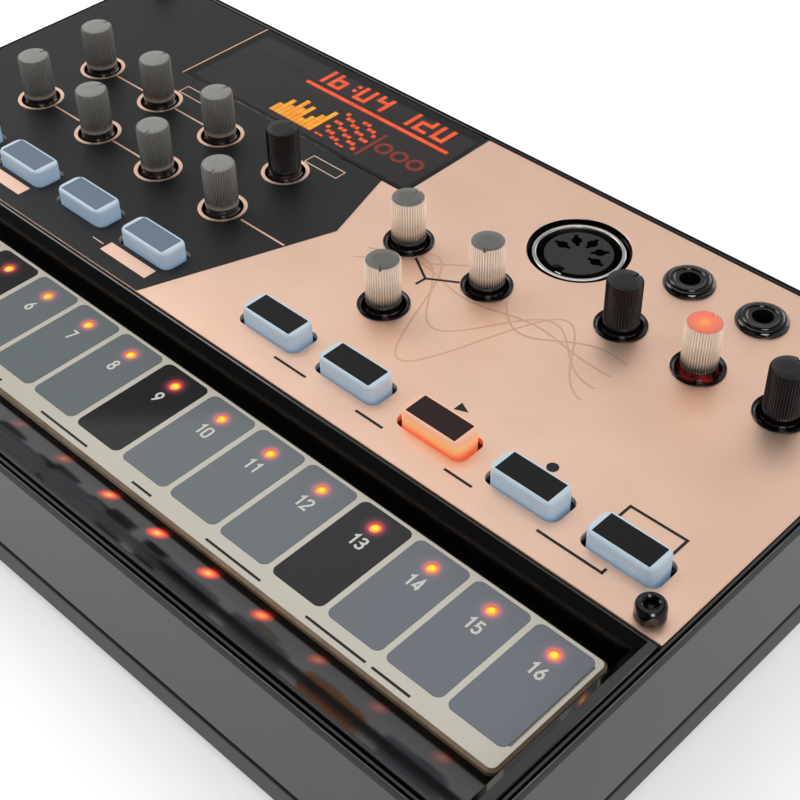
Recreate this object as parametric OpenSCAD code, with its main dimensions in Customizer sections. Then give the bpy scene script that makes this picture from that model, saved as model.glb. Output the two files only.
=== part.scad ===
// Compact battery-powered drum machine: a black case with a raised rim, a bolted metal
// control panel and a touch strip of sixteen step pads in a sunken tray.
// Millimetres, +Z up. The origin is on the ground under the middle of the case,
// +X runs to the player's right and +Y runs to the back edge.

/* [Case] */
// Width of the case, left to right
case_w = 193; // [191:0.5:205]
// Depth of the case, front to back
case_d = 115; // [113.5:0.5:122]
// Corner radius of the case, seen from above
case_r = 3; // [2.5:0.25:5]
// Thickness of the case's side walls
wall = 2.2; // [1.8:0.1:2.6]
// Thickness of the lower case's floor
floor_t = 2; // [1.8:0.1:2.6]
// Height of the lower case, from its underside to the parting line
lower_h = 6.1; // [5.8:0.1:8]
// Height of the top case, from the parting line to the rim
upper_h = 21.5; // [21:0.1:25]
// Height of the shadow gap at the parting line
seam_h = 1; // [0.4:0.1:1.2]
// Depth of the shadow gap at the parting line
seam_depth = 0.6; // [0.3:0.1:0.9]
// Width of the rim around the panel and the tray
rim_w = 1.35; // [1.1:0.05:1.6]
// Thickness of the deck under the panel and the tray
deck_t = 1.6; // [1.2:0.1:2]
// Width of the fine grooves in the rim
groove_w = 0.4; // [0.3:0.05:0.45]
// Depth of the fine grooves in the rim
groove_depth = 0.6; // [0.3:0.1:0.7]
// Width of the slope at the case's outer top edge
edge_w = 0.25; // [0.15:0.05:0.35]
// Height of the slope at the case's outer top edge
edge_h = 1.4; // [1:0.1:1.8]

/* [Panel] */
// Thickness of the metal panel
panel_t = 1; // [0.8:0.1:1.5]
// How far the panel's face stands above the rim
panel_proud = 0.2; // [0:0.1:0.6]
// Distance from the case's front edge to the panel's front edge
front_d = 39.65; // [39:0.05:41]
// Gap between the panel's side edges and the rim
panel_side_gap = 0.05; // [0.05:0.05:0.3]
// Gap between the panel's back edge and the rim
panel_back_gap = 0.5; // [0.2:0.1:0.8]
// Gap between the panel's front edge and the ledge in front of it
panel_front_gap = 0.15; // [0.1:0.05:0.25]

/* [Touch strip] */
// Distance from the case's side to the end of the strip
strip_margin = 6.2; // [5.8:0.1:7]
// Length of a step pad, front to back
pad_len = 19; // [17:0.25:19.5]
// Gap between one step pad and the next
pad_space = 1.1; // [0.8:0.05:1.6]
// Thickness of a step pad's inlay
pad_t = 0.3; // [0.2:0.05:0.5]
// Distance from the strip's back edge to the back edge of the pads
pad_inset = 1.05; // [0.8:0.05:1.4]
// Margin of the strip outside the row of pads, at each end
strip_side = 0.9; // [0.6:0.05:1.2]
// Depth of the strip, front to back
strip_d = 23.8; // [23:0.2:25]
// Thickness of the printed strip
strip_t = 1.2; // [0.9:0.1:1.6]
// How far the strip's face lies below the panel's face
strip_drop = 4.5; // [4:0.1:5]
// Distance from the panel's front edge to the strip's back edge
strip_back = 3.75; // [3.5:0.05:4.2]
// Gap between the strip and the tray's walls, at each end
tray_gap = 1.5; // [1.2:0.05:1.7]
// Width of the bevel around the tray's top edge
tray_bevel = 1.5; // [0.8:0.1:1.6]
// Distance from the panel's front edge to the tray's bevel
ledge_w = 0.55; // [0.45:0.05:0.7]
// Diameter of the light holes in the strip
light_hole = 1.9; // [1.6:0.1:2.2]
// Distance from the strip's back edge to the row of light holes
light_inset = 4.1; // [3:0.1:6]

/* [Knobs] */
// Diameter of a knob
knob_dia = 6; // [5:0.1:6]
// Height of a knob above the panel
knob_h = 9.2; // [7:0.1:12]
// Width of the flared foot of a knob, at the panel's underside
knob_foot = 6.6; // [6.2:0.1:6.8]
// Number of ribs around a knob
knob_ribs = 18; // [12:1:24]
// Diameter of the knob holes in the panel
knob_hole = 7.4; // [7:0.1:7.8]
// Diameter of the black collars under the knob holes
collar_dia = 8.6; // [8.2:0.1:9]
// Gap between a knob and the collar in its hole
knob_gap = 0.35; // [0.3:0.05:0.5]
// Diameter of the spindle under a knob
spindle_dia = 3; // [2.5:0.1:4]
// Distance between the three knobs at the right end
master_pitch = 15.2; // [14:0.1:15.6]

/* [Buttons] */
// Width of a button cap
cap_w = 12.1; // [11:0.1:12.4]
// Depth of a button cap
cap_d = 5.6; // [5:0.1:6]
// Height of a button cap above the panel
cap_h = 2.8; // [2:0.1:3.5]
// Corner radius of a button cap
cap_r = 1.6; // [1:0.1:2]
// Free width at each end of a cap in its slot
cap_side_gap = 0.75; // [0.4:0.05:0.9]
// Gap in front of and behind a cap in its slot
cap_gap = 0.3; // [0.25:0.05:0.5]
// How far a button travels
travel = 0.8; // [0.4:0.1:1]

/* [Sockets] */
// Width of the round multipin socket's hole in the panel
din_hole = 18; // [17:0.1:18.4]
// Outer diameter of the multipin socket's shell
din_shell_dia = 16.1; // [15.6:0.1:16.6]
// Inner diameter of the multipin socket's shell
din_bore = 13.5; // [13.3:0.1:14]
// Diameter of the multipin socket's insulator
din_core_dia = 11.9; // [11.4:0.1:12.2]
// Radius of the circle that the five pin holes lie on
pin_circle_r = 3.5; // [3.3:0.05:3.8]
// Diameter of a pin hole
pin_hole = 1.7; // [1.4:0.1:2]
// Bore of the three audio and sync jacks
jack_bore = 3.6; // [3.5:0.05:3.8]
// Diameter of a jack's barrel
jack_barrel = 7; // [6:0.1:7.4]
// Diameter of the round nut on a jack
nut_dia = 8.9; // [8.2:0.1:10]
// Height of the round nut on a jack
nut_h = 0.9; // [0.5:0.1:1.4]
// Distance from one jack to the next
jack_pitch = 14.35; // [13:0.05:14.8]

/* [Display] */
// Width of the display window
window_w = 61; // [58:0.5:63]
// Depth of the display window
window_d = 22.9; // [21.5:0.1:23]

/* [Power] */
// Diameter of a battery cell
cell_dia = 14.2; // [13.8:0.1:14.4]
// Length of a battery cell with its button
cell_len = 50.5; // [49:0.1:50.8]
// Thickness of the battery cover
cover_t = 1.8; // [1.5:0.1:2]
// Diameter of the loudspeaker
speaker_dia = 26; // [22:0.5:28]
// Height of the loudspeaker
speaker_h = 7; // [5:0.25:8]

/* [Feet and fasteners] */
// Height of the rubber feet
foot_h = 2; // [1.5:0.25:4]
// Diameter of the rubber feet
foot_dia = 12; // [8:0.5:13]
// Diameter of the panel bolts' shanks
bolt_dia = 2.5; // [2.3:0.1:3]
// Diameter of the panel bolts' heads
bolt_head = 4.5; // [4.2:0.1:5.2]
// Height of the panel bolts' heads
bolt_head_h = 2.5; // [2:0.1:3.5]
// Width across flats of the socket in a bolt's head
bolt_socket = 2; // [1.8:0.1:2.3]
// Diameter of the bosses that take the bolts and screws
boss_dia = 6.6; // [6:0.1:7]

/* [Hidden] */

$fn = 64;
eps = 0.01;
seat = 0.3;          // gap between parts of different bodies, and under what rests loosely
running = 0.05;      // radial clearance of a spindle or a screw in its hole
light_count = 16;

// Levels, from the ground up
case_z = foot_h;
floor_z = case_z + floor_t;
part_z = case_z + lower_h;
rim_z = part_z + upper_h;
panel_z = rim_z + panel_proud;
deck_z = panel_z - panel_t;
deck_under = deck_z - deck_t;
strip_z = panel_z - strip_drop;
tray_z = strip_z - strip_t;
tray_under = tray_z - deck_t;
cup_z = deck_under - 0.2;
board_t = 1.2;
pot_h = 4.2;
panel_board_z = cup_z - pot_h;
panel_board_under = panel_board_z - board_t;
cell_z = case_z + cover_t + seat + cell_dia / 2;
bay_top = cell_z + cell_dia / 2 + seat;
lip_t = 1;
lip_h = 2;           // how far the lower case's lip reaches past the parting line, each way
main_board_z = floor_z + 5;
jack_board_z = part_z + lip_h + 0.5;
socket_z = jack_board_z + board_t;
bezel_board_z = tray_under - 2.5;

// Outlines, seen from above
inner_x = case_w / 2 - wall;
inner_y = case_d / 2 - wall;
panel_w = case_w - 2 * (rim_w + panel_side_gap);
panel_back = case_d / 2 - rim_w - panel_back_gap;
panel_front = front_d - case_d / 2;
panel_d = panel_back - panel_front;
strip_w = case_w - 2 * strip_margin;
strip_r = 1.4;
strip_y1 = panel_front - strip_back;
strip_y0 = strip_y1 - strip_d;
light_y = strip_y1 - light_inset;
pad_pitch = (strip_w - 2 * strip_side) / light_count;
pad_r = 1.2;
tray_x = strip_w / 2 + tray_gap;
tray_y1 = panel_front - ledge_w - tray_bevel;
tray_y0 = strip_y0 - 0.8;
ramp_edge = 0.6;      // flat strip between the ramp and the groove in front of it
ramp_y = -case_d / 2 + rim_w + groove_w + ramp_edge;
bezel_light_y = strip_y0 - 2.4;
bezel_board_y1 = bezel_light_y + 2.5;
bezel_board_y0 = -inner_y + 2.3;
window_x1 = 0;
window_x0 = window_x1 - window_w;
window_y1 = panel_back;
window_y0 = window_y1 - window_d;

// Places of the controls. The outer ones keep their distance from the case's sides and from
// the panel's edges, and the rows and columns between them are spread evenly.
button_y = panel_front + 9.75;
first_gold_x = 11.1;
first_dark_x = -20.1;
last_button_x = case_w / 2 - 14.44;
button_pitch = (last_button_x - first_gold_x) / 4;
column_x = -20.6;
last_column_x = -case_w / 2 + 22.5;
column_pitch = (column_x - last_column_x) / 3;
row_shares = [0.389, 0.759];   // of the way from the buttons to the display
decay_x = 10.5;
tune_x = 19.3;
body_x = 28.4;
master_y = panel_back - 25.75;
swing_x = case_w / 2 - 15.2 - 2 * master_pitch;
jack_x = case_w / 2 - 15.3 - 2 * jack_pitch;
jack_y = panel_back - 9.55;
din_x = jack_x - 19.1;
din_y = panel_back - 14.8;
din_top = panel_z - 0.9;
jack_top = panel_z + nut_h + 0.1;

// Battery bay
bay_wall = 1.4;
cell_pitch = cell_dia + 0.9;
bay_x = cell_len + 4.4;
bay_y1 = panel_back - 26.8;
bay_y0 = bay_y1 - 3 * cell_pitch - 0.2;
cover_x = bay_x + bay_wall + seat;
cover_y0 = bay_y0 - bay_wall + 0.2;
tongue = 1;

// Fasteners
bolt_x = case_w / 2 - 5.7;
bolt_y0 = panel_front + 3.1;
bolt_y1 = panel_back - 3.15;
front_screw_x = case_w / 2 - 5.9;
front_screw_y = -case_d / 2 + 7.2;
bolt_len = 8;
screw_len = 9;
screw_head = 4.8;
screw_head_h = 1;

// Boards
main_x = strip_w / 2 - 6;
main_y0 = bezel_board_y1;
main_y1 = cover_y0 - 1.2;
main_y = (main_y0 + main_y1) / 2;
spacer_x = strip_w / 2 - 11;
jack_board_x = case_w / 2 - 71;
jack_board_y = jack_y - 11;
board_side = 9.5;    // distance from the case's side to the jack board and to the power board
power_board_w = 33.5;
power_board_d = 17;

// Power parts at the back left
dc_x = -case_w / 2 + 21;
dc_z = socket_z + 4;
dc_barrel = 7.6;
slider_x = -case_w / 2 + 35.5;
slider_z = socket_z + 2.2;
slider_travel = 3;
speaker_x = -(bay_x + bay_wall + inner_x) / 2;
speaker_y = (bay_y0 + bay_y1) / 2;

function column(i) = column_x - i * column_pitch;
function row(i) = button_y + row_shares[i] * (window_y0 - button_y);
function gold_button(i) = first_gold_x + i * button_pitch;
function dark_button(i) = first_dark_x - i * button_pitch;
function light_x(i) = (i - (light_count - 1) / 2) * pad_pitch;

KNOB_SPOTS = [
    for (i = [3:-1:1], j = [0:1]) [column(i), row(j)],
    [column(0), row(0)],
    [decay_x, row(1)], [tune_x, row(0)], [body_x, row(1)],
    for (i = [0:2]) [swing_x + i * master_pitch, master_y]
];
ENCODER_SPOT = [column(0), row(1)];
BUTTON_X = [
    for (i = [3:-1:0]) dark_button(i),
    for (i = [0:4]) gold_button(i)
];
BOLT_SPOTS = [for (x = [-bolt_x, bolt_x], y = [bolt_y0, bolt_y1]) [x, y]];
SCREW_SPOTS = concat(BOLT_SPOTS, [for (x = [-front_screw_x, front_screw_x]) [x, front_screw_y]]);
JACK_SPOTS = [for (i = [0:2]) [jack_x + i * jack_pitch, jack_y]];

// A rectangle with round corners, centred
module round_rect(w, d, r) {
    square([w - 2 * r, d], center = true);
    square([w, d - 2 * r], center = true);
    for (x = [-1, 1], y = [-1, 1])
        translate([x * (w / 2 - r), y * (d / 2 - r)]) circle(r);
}

// The same, as a block between two heights
module block(w, d, z0, z1, r) {
    translate([0, 0, z0]) linear_extrude(z1 - z0) round_rect(w, d, r);
}

// A box given by its low and high corners
module span(a, b) {
    translate(a) cube(b - a);
}

// A ring of even width that follows the case's outline, its outer edge set in by inset
module outline_ring(inset, width, z0, z1) {
    difference() {
        block(case_w - 2 * inset, case_d - 2 * inset, z0, z1, max(case_r - inset, 0.5));
        block(case_w - 2 * (inset + width), case_d - 2 * (inset + width), z0 - eps, z1 + eps,
              max(case_r - inset - width, 0.4));
    }
}

// A shape in the YZ plane, drawn out along X
module along_x(x0, x1) {
    translate([x0, 0, 0]) rotate([90, 0, 90]) linear_extrude(x1 - x0) children();
}

// A shape in the XZ plane, drawn out along Y
module along_y(y0, y1) {
    translate([0, y1, 0]) rotate([90, 0, 0]) linear_extrude(y1 - y0) children();
}

// The outside of the top case: a block whose top edge slopes in on every side
module top_block() {
    half_w = case_w / 2;
    half_d = case_d / 2;
    slope_z = rim_z - edge_h;
    along_x(-half_w + case_r, half_w - case_r) polygon([
        [-half_d, part_z], [half_d, part_z], [half_d, slope_z], [half_d - edge_w, rim_z],
        [-half_d + edge_w, rim_z], [-half_d, slope_z]
    ]);
    along_y(-half_d + case_r, half_d - case_r) polygon([
        [-half_w, part_z], [half_w, part_z], [half_w, slope_z], [half_w - edge_w, rim_z],
        [-half_w + edge_w, rim_z], [-half_w, slope_z]
    ]);
    for (x = [-1, 1], y = [-1, 1])
        translate([x * (half_w - case_r), y * (half_d - case_r), part_z]) {
            cylinder(r = case_r, h = slope_z - part_z);
            translate([0, 0, slope_z - part_z]) cylinder(r1 = case_r, r2 = case_r - edge_w, h = edge_h);
        }
}

// The flat recess that the panel lies in
module panel_recess() {
    intersection() {
        block(case_w - 2 * rim_w, case_d - 2 * rim_w, deck_z, rim_z + 1, case_r / 2);
        span([-case_w, panel_front - panel_front_gap, deck_z - 1], [case_w, case_d, rim_z + 2]);
    }
}

// The sunken tray: a bevelled well at the back and sides, with a ramp up to the front rim
module tray_void() {
    top = rim_z + 1;
    foot = rim_z - tray_bevel;
    intersection() {
        along_x(-case_w / 2, case_w / 2) polygon([
            [tray_y1 + tray_bevel, top], [tray_y1 + tray_bevel, rim_z], [tray_y1, foot],
            [tray_y1, tray_z], [tray_y0, tray_z], [ramp_y, rim_z], [ramp_y, top]
        ]);
        along_y(-case_d / 2, case_d / 2) polygon([
            [-tray_x, tray_z - 1], [tray_x, tray_z - 1], [tray_x, foot],
            [tray_x + tray_bevel, rim_z], [tray_x + tray_bevel, top],
            [-tray_x - tray_bevel, top], [-tray_x - tray_bevel, rim_z], [-tray_x, foot]
        ]);
    }
}

// The space inside the top case, under the deck, the tray and the ramp
module top_void() {
    ramp_rise = (rim_z - tray_z) / (tray_y0 - ramp_y);
    along_x(-inner_x, inner_x) polygon([
        [-inner_y, part_z - 1], [-inner_y, tray_under + (tray_y0 + inner_y) * ramp_rise],
        [tray_y0, tray_under], [tray_y1 + deck_t, tray_under], [tray_y1 + deck_t, deck_under],
        [inner_y, deck_under], [inner_y, part_z - 1]
    ]);
}

// Slots for the button caps
module cap_slots(z0, z1) {
    for (x = BUTTON_X)
        translate([x, button_y, 0])
            block(cap_w + 2 * cap_side_gap, cap_d + 2 * cap_gap, z0, z1, cap_r);
}

module knob_holes(dia, z0, z1) {
    for (s = concat(KNOB_SPOTS, [ENCODER_SPOT]))
        translate([s[0], s[1], z0]) cylinder(d = dia, h = z1 - z0);
}

module lower_case() {
    flange_z = case_z + cover_t + seat;
    flange_t = 1.5;
    frame_w = 3;
    head_gap = 0.2;
    color("#2b2b2d") difference() {
        union() {
            difference() {
                block(case_w, case_d, case_z, part_z, case_r);
                block(2 * inner_x, 2 * inner_y, floor_z, part_z + eps, case_r / 2);
            }
            lip();
            span([-cover_x - frame_w, cover_y0 - frame_w, floor_z - 0.5],
                 [cover_x + frame_w, case_d / 2 - wall / 2, flange_z + flange_t]);
            span([-bay_x - bay_wall, bay_y0 - bay_wall, floor_z],
                 [bay_x + bay_wall, bay_y1 + bay_wall, panel_board_under]);
            board_posts();
        }
        outline_ring(-1, 1 + seam_depth, part_z - seam_h, part_z + eps);
        span([-bay_x, bay_y0, case_z - 1], [bay_x, bay_y1, bay_top]);
        span([-cover_x, cover_y0, case_z - 1], [cover_x, case_d / 2 + 1, flange_z]);
        for (x = [-1, 1])
            translate([x * cover_x, 0, 0])
                span([-tongue - head_gap, cover_y0, case_z + cover_t / 3 - head_gap],
                     [tongue + head_gap, case_d / 2 + 1, flange_z]);
        for (s = SCREW_SPOTS) translate([s[0], s[1], 0]) {
            translate([0, 0, case_z - 1]) cylinder(d = bolt_dia + 2 * head_gap, h = floor_t + 2);
            translate([0, 0, case_z - 1]) cylinder(d = screw_head + 2 * head_gap, h = 1 + screw_head_h + 0.1);
            translate([0, 0, floor_z]) cylinder(d = boss_dia + 2 * seat, h = lower_h);
        }
        speaker_slots();
    }
}

// The lip that centres the top case, cut away at the bosses and at the power inlet
module lip() {
    cut = 9;
    difference() {
        union() {
            outline_ring(wall + running, lip_t, part_z - lip_h, part_z + lip_h);
            outline_ring(wall - 0.5, lip_t + 0.5 + running, part_z - lip_h, part_z - seam_h);
        }
        for (s = SCREW_SPOTS)
            translate([s[0], s[1], part_z]) cylinder(d = boss_dia + 3, h = cut, center = true);
        translate([dc_x, case_d / 2, part_z]) cube([dc_barrel + 2, cut, cut], center = true);
    }
}

// Slots in the floor under the loudspeaker, each as long as the cone is wide there
module speaker_slots() {
    slot_w = 1.4;
    slot_pitch = 3;
    slot_count = 7;
    cone_dia = speaker_dia - 6;
    for (i = [0:slot_count - 1]) {
        off = (i - (slot_count - 1) / 2) * slot_pitch;
        translate([speaker_x, speaker_y + off, 0])
            block(round(sqrt(pow(cone_dia, 2) - pow(2 * off, 2))), slot_w, case_z - 1, floor_z + 1, slot_w / 2.5);
    }
}

// Posts of the lower case under the boards
module board_posts() {
    post_dia = 4;
    in_floor = 1;
    bezel_post_y = bezel_board_y0 + 1.8;
    back_y = inner_y - 4;
    for (share = [-1, -1 / 3, 1 / 3, 1])
        translate([share * (strip_w / 2 - 10), bezel_post_y, floor_z - in_floor])
            cylinder(d = post_dia, h = bezel_board_z - board_t - floor_z + in_floor);
    for (p = [[jack_board_x + 3, back_y], [case_w / 2 - 11, back_y], [case_w / 2 - 11, jack_y - 7],
              [-case_w / 2 + 12, back_y], [-case_w / 2 + 12, inner_y - 15], [-case_w / 2 + 40, back_y]])
        translate([p[0], p[1], floor_z - in_floor])
            cylinder(d = post_dia, h = jack_board_z - floor_z + in_floor);
}

module top_case() {
    boss_z = floor_z + 0.2;
    under_window = 1.5;
    crest = 0.15;
    color("#19191b") difference() {
        union() {
            difference() {
                top_block();
                top_void();
            }
            for (s = SCREW_SPOTS)
                translate([s[0], s[1], boss_z]) cylinder(d = boss_dia, h = deck_z - 0.5 - boss_z);
        }
        panel_recess();
        tray_void();
        outline_ring(edge_w + crest, groove_w, rim_z - groove_depth, rim_z + 1);
        outline_ring(rim_w - panel_side_gap, groove_w, rim_z - groove_depth, rim_z + 1);
        knob_holes(collar_dia + 0.2, deck_under - 1, deck_z + 1);
        cap_slots(deck_under - 1, deck_z + 1);
        span([window_x0 + under_window, window_y0 + under_window, deck_under - 1],
             [window_x1 - under_window, window_y1 - under_window, deck_z + 1]);
        touch_board_space(0.2, tray_under - 1, tray_z + 1);
        translate([din_x, din_y, deck_under - 1]) cylinder(d = din_shell_dia + 1.3, h = deck_t + 2);
        for (s = JACK_SPOTS)
            translate([s[0], s[1], deck_under - 1]) cylinder(d = jack_barrel + 0.2, h = deck_t + 2);
        for (s = BOLT_SPOTS)
            translate([s[0], s[1], deck_z - bolt_len])
                cylinder(d = bolt_dia + 2 * running, h = bolt_len + 1);
        for (s = SCREW_SPOTS)
            translate([s[0], s[1], floor_z - 1])
                cylinder(d = bolt_dia + 2 * running, h = screw_len + 1);
        translate([dc_x, case_d / 2 + 1, dc_z]) rotate([90, 0, 0]) cylinder(d = dc_barrel + 0.4, h = 2 * wall + 1);
        span([slider_x - 4, inner_y - 1, slider_z - 1.3],
             [slider_x + 4 + slider_travel, case_d / 2 + 1, slider_z + 1.3]);
    }
}

module panel_plate() {
    color("#dcb595") difference() {
        union() {
            translate([0, (panel_back + panel_front) / 2, 0])
                block(panel_w, panel_d, deck_z, panel_z, 1.2);
            translate([0, panel_front + 4, 0]) block(panel_w, 8, deck_z, panel_z, 0.3);
        }
        span([window_x0, window_y0, deck_z - 1], [window_x1, window_y1 + 1, panel_z + 1]);
        knob_holes(knob_hole, deck_z - 1, panel_z + 1);
        cap_slots(deck_z - 1, panel_z + 1);
        translate([din_x, din_y, deck_z - 1]) cylinder(d = din_hole, h = panel_t + 2);
        for (s = JACK_SPOTS)
            translate([s[0], s[1], deck_z - 1]) cylinder(d = jack_barrel + 0.2, h = panel_t + 2);
        for (s = BOLT_SPOTS)
            translate([s[0], s[1], deck_z - 1]) cylinder(d = bolt_dia + 0.4, h = panel_t + 2);
    }
}

module display_window() {
    color("#101012", 0.8)
        span([window_x0 + 0.1, window_y0 + 0.1, deck_z], [window_x1 - 0.1, window_y1, panel_z]);
}

module display_module() {
    color("#3a2418") difference() {
        span([window_x0 + 2, window_y0 + 2, panel_board_z], [window_x1 - 2, window_y1 - 2, deck_z - 0.2]);
        span([window_x0 + 3.2, window_y0 + 3.2, deck_z - 0.8], [window_x1 - 3.2, window_y1 - 6, deck_z]);
    }
}

// The outlines of the step pads, each larger by grow on every side
module pad_row(grow, z0, z1) {
    for (i = [0:light_count - 1])
        translate([light_x(i), strip_y1 - pad_inset - pad_len / 2, 0])
            block(pad_pitch - pad_space + 2 * grow, pad_len + 2 * grow, z0, z1, pad_r + grow);
}

module light_holes() {
    for (i = [0:light_count - 1])
        translate([light_x(i), light_y, tray_z - 1]) cylinder(d = light_hole, h = strip_t + 2, $fn = 32);
}

module touch_strip() {
    color("#d8d2c5") difference() {
        translate([0, (strip_y0 + strip_y1) / 2, 0]) block(strip_w, strip_d, tray_z, strip_z, strip_r);
        pad_row(running, strip_z - pad_t, strip_z + 1);
        light_holes();
    }
}

module step_pads() {
    color("#66707c") difference() {
        pad_row(0, strip_z - pad_t, strip_z);
        light_holes();
    }
}

// The place of the touch board under the strip, larger by grow on every side
module touch_board_space(grow, z0, z1) {
    end_x = strip_w / 2 - 3 + grow;
    edge = 2.2 - grow;
    span([-end_x, strip_y0 + edge, z0], [end_x, strip_y1 - edge, z1]);
}

module touch_board() {
    color("#1d5a3a") touch_board_space(0, tray_z - board_t, tray_z);
}

module step_lights() {
    color("#ff7a3c")
        for (i = [0:light_count - 1])
            translate([light_x(i), light_y, tray_z]) cylinder(d = light_hole - 0.3, h = strip_t - 0.3, $fn = 32);
}

module bezel_lights() {
    color("#ff5a2c")
        for (i = [0:light_count - 1])
            translate([light_x(i), bezel_light_y, bezel_board_z]) cylinder(d = 3, h = 2.2, $fn = 32);
}

module bezel_board() {
    end_x = strip_w / 2 - 4;
    color("#1d5a3a")
        span([-end_x, bezel_board_y0, bezel_board_z - board_t], [end_x, bezel_board_y1, bezel_board_z]);
}

module panel_board() {
    edge_x = bolt_x - boss_dia / 2 - 1;
    color("#1d5a3a") difference() {
        union() {
            span([-edge_x, tray_y1 + deck_t + 0.5, panel_board_under], [edge_x, master_y + 6, panel_board_z]);
            span([window_x0 - 4, master_y, panel_board_under],
                 [window_x1 + 10, inner_y - 1.5, panel_board_z]);
        }
        translate([din_x, din_y, panel_board_under - 1]) cylinder(d = din_shell_dia + 3, h = board_t + 2);
    }
}

// The main board with its two chips and a row of capacitors
module main_board() {
    // Middle, half width, half depth and height of each chip
    chips = [[-main_x + 54, 7, 7, 1.4], [main_x - 74, 10, 4, 1.6]];
    can_dia = 5;
    can_h = 5;
    color("#1d5a3a") {
        span([-main_x, main_y0, main_board_z], [main_x, main_y1, main_board_z + board_t]);
        for (c = chips)
            translate([c[0], main_y, main_board_z]) span([-c[1], -c[2], 0], [c[1], c[2], board_t + c[3]]);
        for (x = [-main_x + 22, -main_x + 34, main_x - 50, main_x - 40])
            translate([x, main_y, main_board_z]) cylinder(d = can_dia, h = board_t + can_h);
    }
}

module board_spacers() {
    color("#c9a24b")
        for (x = [-spacer_x, 0, spacer_x], y = [main_y0 + 3.5, main_y1 - 4])
            translate([x, y, floor_z]) cylinder(d = 5, h = main_board_z - floor_z, $fn = 6);
}

module board_connector() {
    half_d = 2.5;
    color("#2f2f33")
        span([main_x - 32, main_y - half_d, main_board_z + board_t],
             [main_x - 10, main_y + half_d, tray_z - board_t]);
}

module jack_board() {
    color("#1d5a3a")
        span([jack_board_x, jack_board_y, jack_board_z], [case_w / 2 - board_side, inner_y - 1, socket_z]);
}

module power_board() {
    color("#1d5a3a") translate([-case_w / 2 + board_side, inner_y - 1, jack_board_z])
        span([0, -power_board_d, 0], [power_board_w, 0, board_t]);
}

// The black cups that show through the knob holes
module knob_collars() {
    cup_floor = 0.5;
    color("#121214")
        for (s = concat(KNOB_SPOTS, [ENCODER_SPOT]))
            translate([s[0], s[1], cup_z]) difference() {
                cylinder(d = collar_dia, h = deck_z - cup_z - 0.1);
                translate([0, 0, -1]) cylinder(d = knob_dia + 2 * knob_gap, h = 9);
                translate([0, 0, cup_floor]) cylinder(d = knob_hole - 0.2, h = 9);
            }
}

module spindle_housing(z_top) {
    difference() {
        span([-4.8, -5.2, panel_board_z], [4.8, 5.2, z_top]);
        translate([0, 0, panel_board_z + 0.6])
            cylinder(d = spindle_dia + 2 * running, h = z_top - panel_board_z);
    }
}

module pot_bodies() {
    color("#3c5f8a") for (s = KNOB_SPOTS) translate([s[0], s[1], 0]) spindle_housing(cup_z);
}

module encoder_body() {
    color("#55585c") translate([ENCODER_SPOT[0], ENCODER_SPOT[1], 0]) spindle_housing(cup_z);
}

// A ribbed knob on its own spindle. Its pointer notch is turned clockwise from the back.
module ribbed_knob(spot, turn = 0) {
    rib = 0.3;
    notch = 0.4;
    z0 = cup_z + seat;
    foot_top = panel_z + 1.2;
    top = panel_z + knob_h;
    translate([spot[0], spot[1], 0]) difference() {
        union() {
            translate([0, 0, z0]) cylinder(d = knob_dia - 2 * rib, h = top - z0);
            translate([0, 0, deck_z])
                cylinder(d1 = knob_foot, d2 = knob_dia, h = foot_top - deck_z);
            for (i = [0:knob_ribs - 1])
                rotate(i * 360 / knob_ribs)
                    span([0, -0.22, foot_top - eps], [knob_dia / 2, 0.22, top - 0.5]);
            translate([0, 0, panel_board_z + 0.9])
                cylinder(d = spindle_dia, h = z0 - panel_board_z - 0.9 + eps);
        }
        rotate(-turn) span([-notch / 2, knob_dia / 3.5, top - notch], [notch / 2, knob_dia, top + 1]);
    }
}

module button_cap(x) {
    z0 = deck_under - 0.4;
    translate([x, button_y, 0]) {
        block(cap_w, cap_d, z0 - eps, panel_z + cap_h, cap_r);
        block(cap_w + 2 * cap_side_gap + 0.8, cap_d + 1.4, z0 - 0.9, z0, cap_r);
        translate([0, 0, panel_board_z + 2.3]) cylinder(d = 3, h = z0 - panel_board_z - 3);
    }
}

module switch_bodies() {
    color("#28282b")
        for (x = BUTTON_X)
            translate([x, button_y, panel_board_z])
                span([-3, -3, 0], [3, 3, 2.3 - travel - seat]);
}

module din_shell() {
    floor_h = 1.5;
    color("#c4c6c9") translate([din_x, din_y, socket_z]) difference() {
        cylinder(d = din_shell_dia, h = din_top - socket_z);
        translate([0, 0, floor_h]) cylinder(d = din_bore, h = panel_z);
    }
}

module din_insulator() {
    z0 = socket_z + 1.5;
    pin_depth = 9.1;
    key = [2.4, 2, 9];
    color("#17171a") translate([din_x, din_y, z0]) difference() {
        cylinder(d = din_core_dia, h = din_top - z0);
        for (i = [0:4])
            rotate(i * 45) translate([pin_circle_r, 0, din_top - pin_depth - z0])
                cylinder(d = pin_hole, h = pin_depth + 1, $fn = 24);
        translate([0, -din_core_dia / 2, din_top - z0 - 3]) cube(key, center = true);
    }
}

module jack_sockets() {
    body = [9.2, 11.2];
    bore_h = 14.1;
    color("#1b1b1e")
        for (s = JACK_SPOTS) translate([s[0], s[1], socket_z]) difference() {
            union() {
                span([-body[0] / 2, -body[1] / 2, 0], [body[0] / 2, body[1] / 2, deck_under - seat - socket_z]);
                cylinder(d = jack_barrel, h = jack_top - socket_z);
            }
            translate([0, 0, jack_top - socket_z - bore_h]) cylinder(d = jack_bore, h = bore_h + 1);
        }
}

module jack_nuts() {
    color("#232326")
        for (s = JACK_SPOTS) translate([s[0], s[1], panel_z]) difference() {
            cylinder(d = nut_dia, h = nut_h);
            translate([0, 0, -1]) cylinder(d = jack_barrel + 2 * running, h = nut_h + 2);
        }
}

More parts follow.
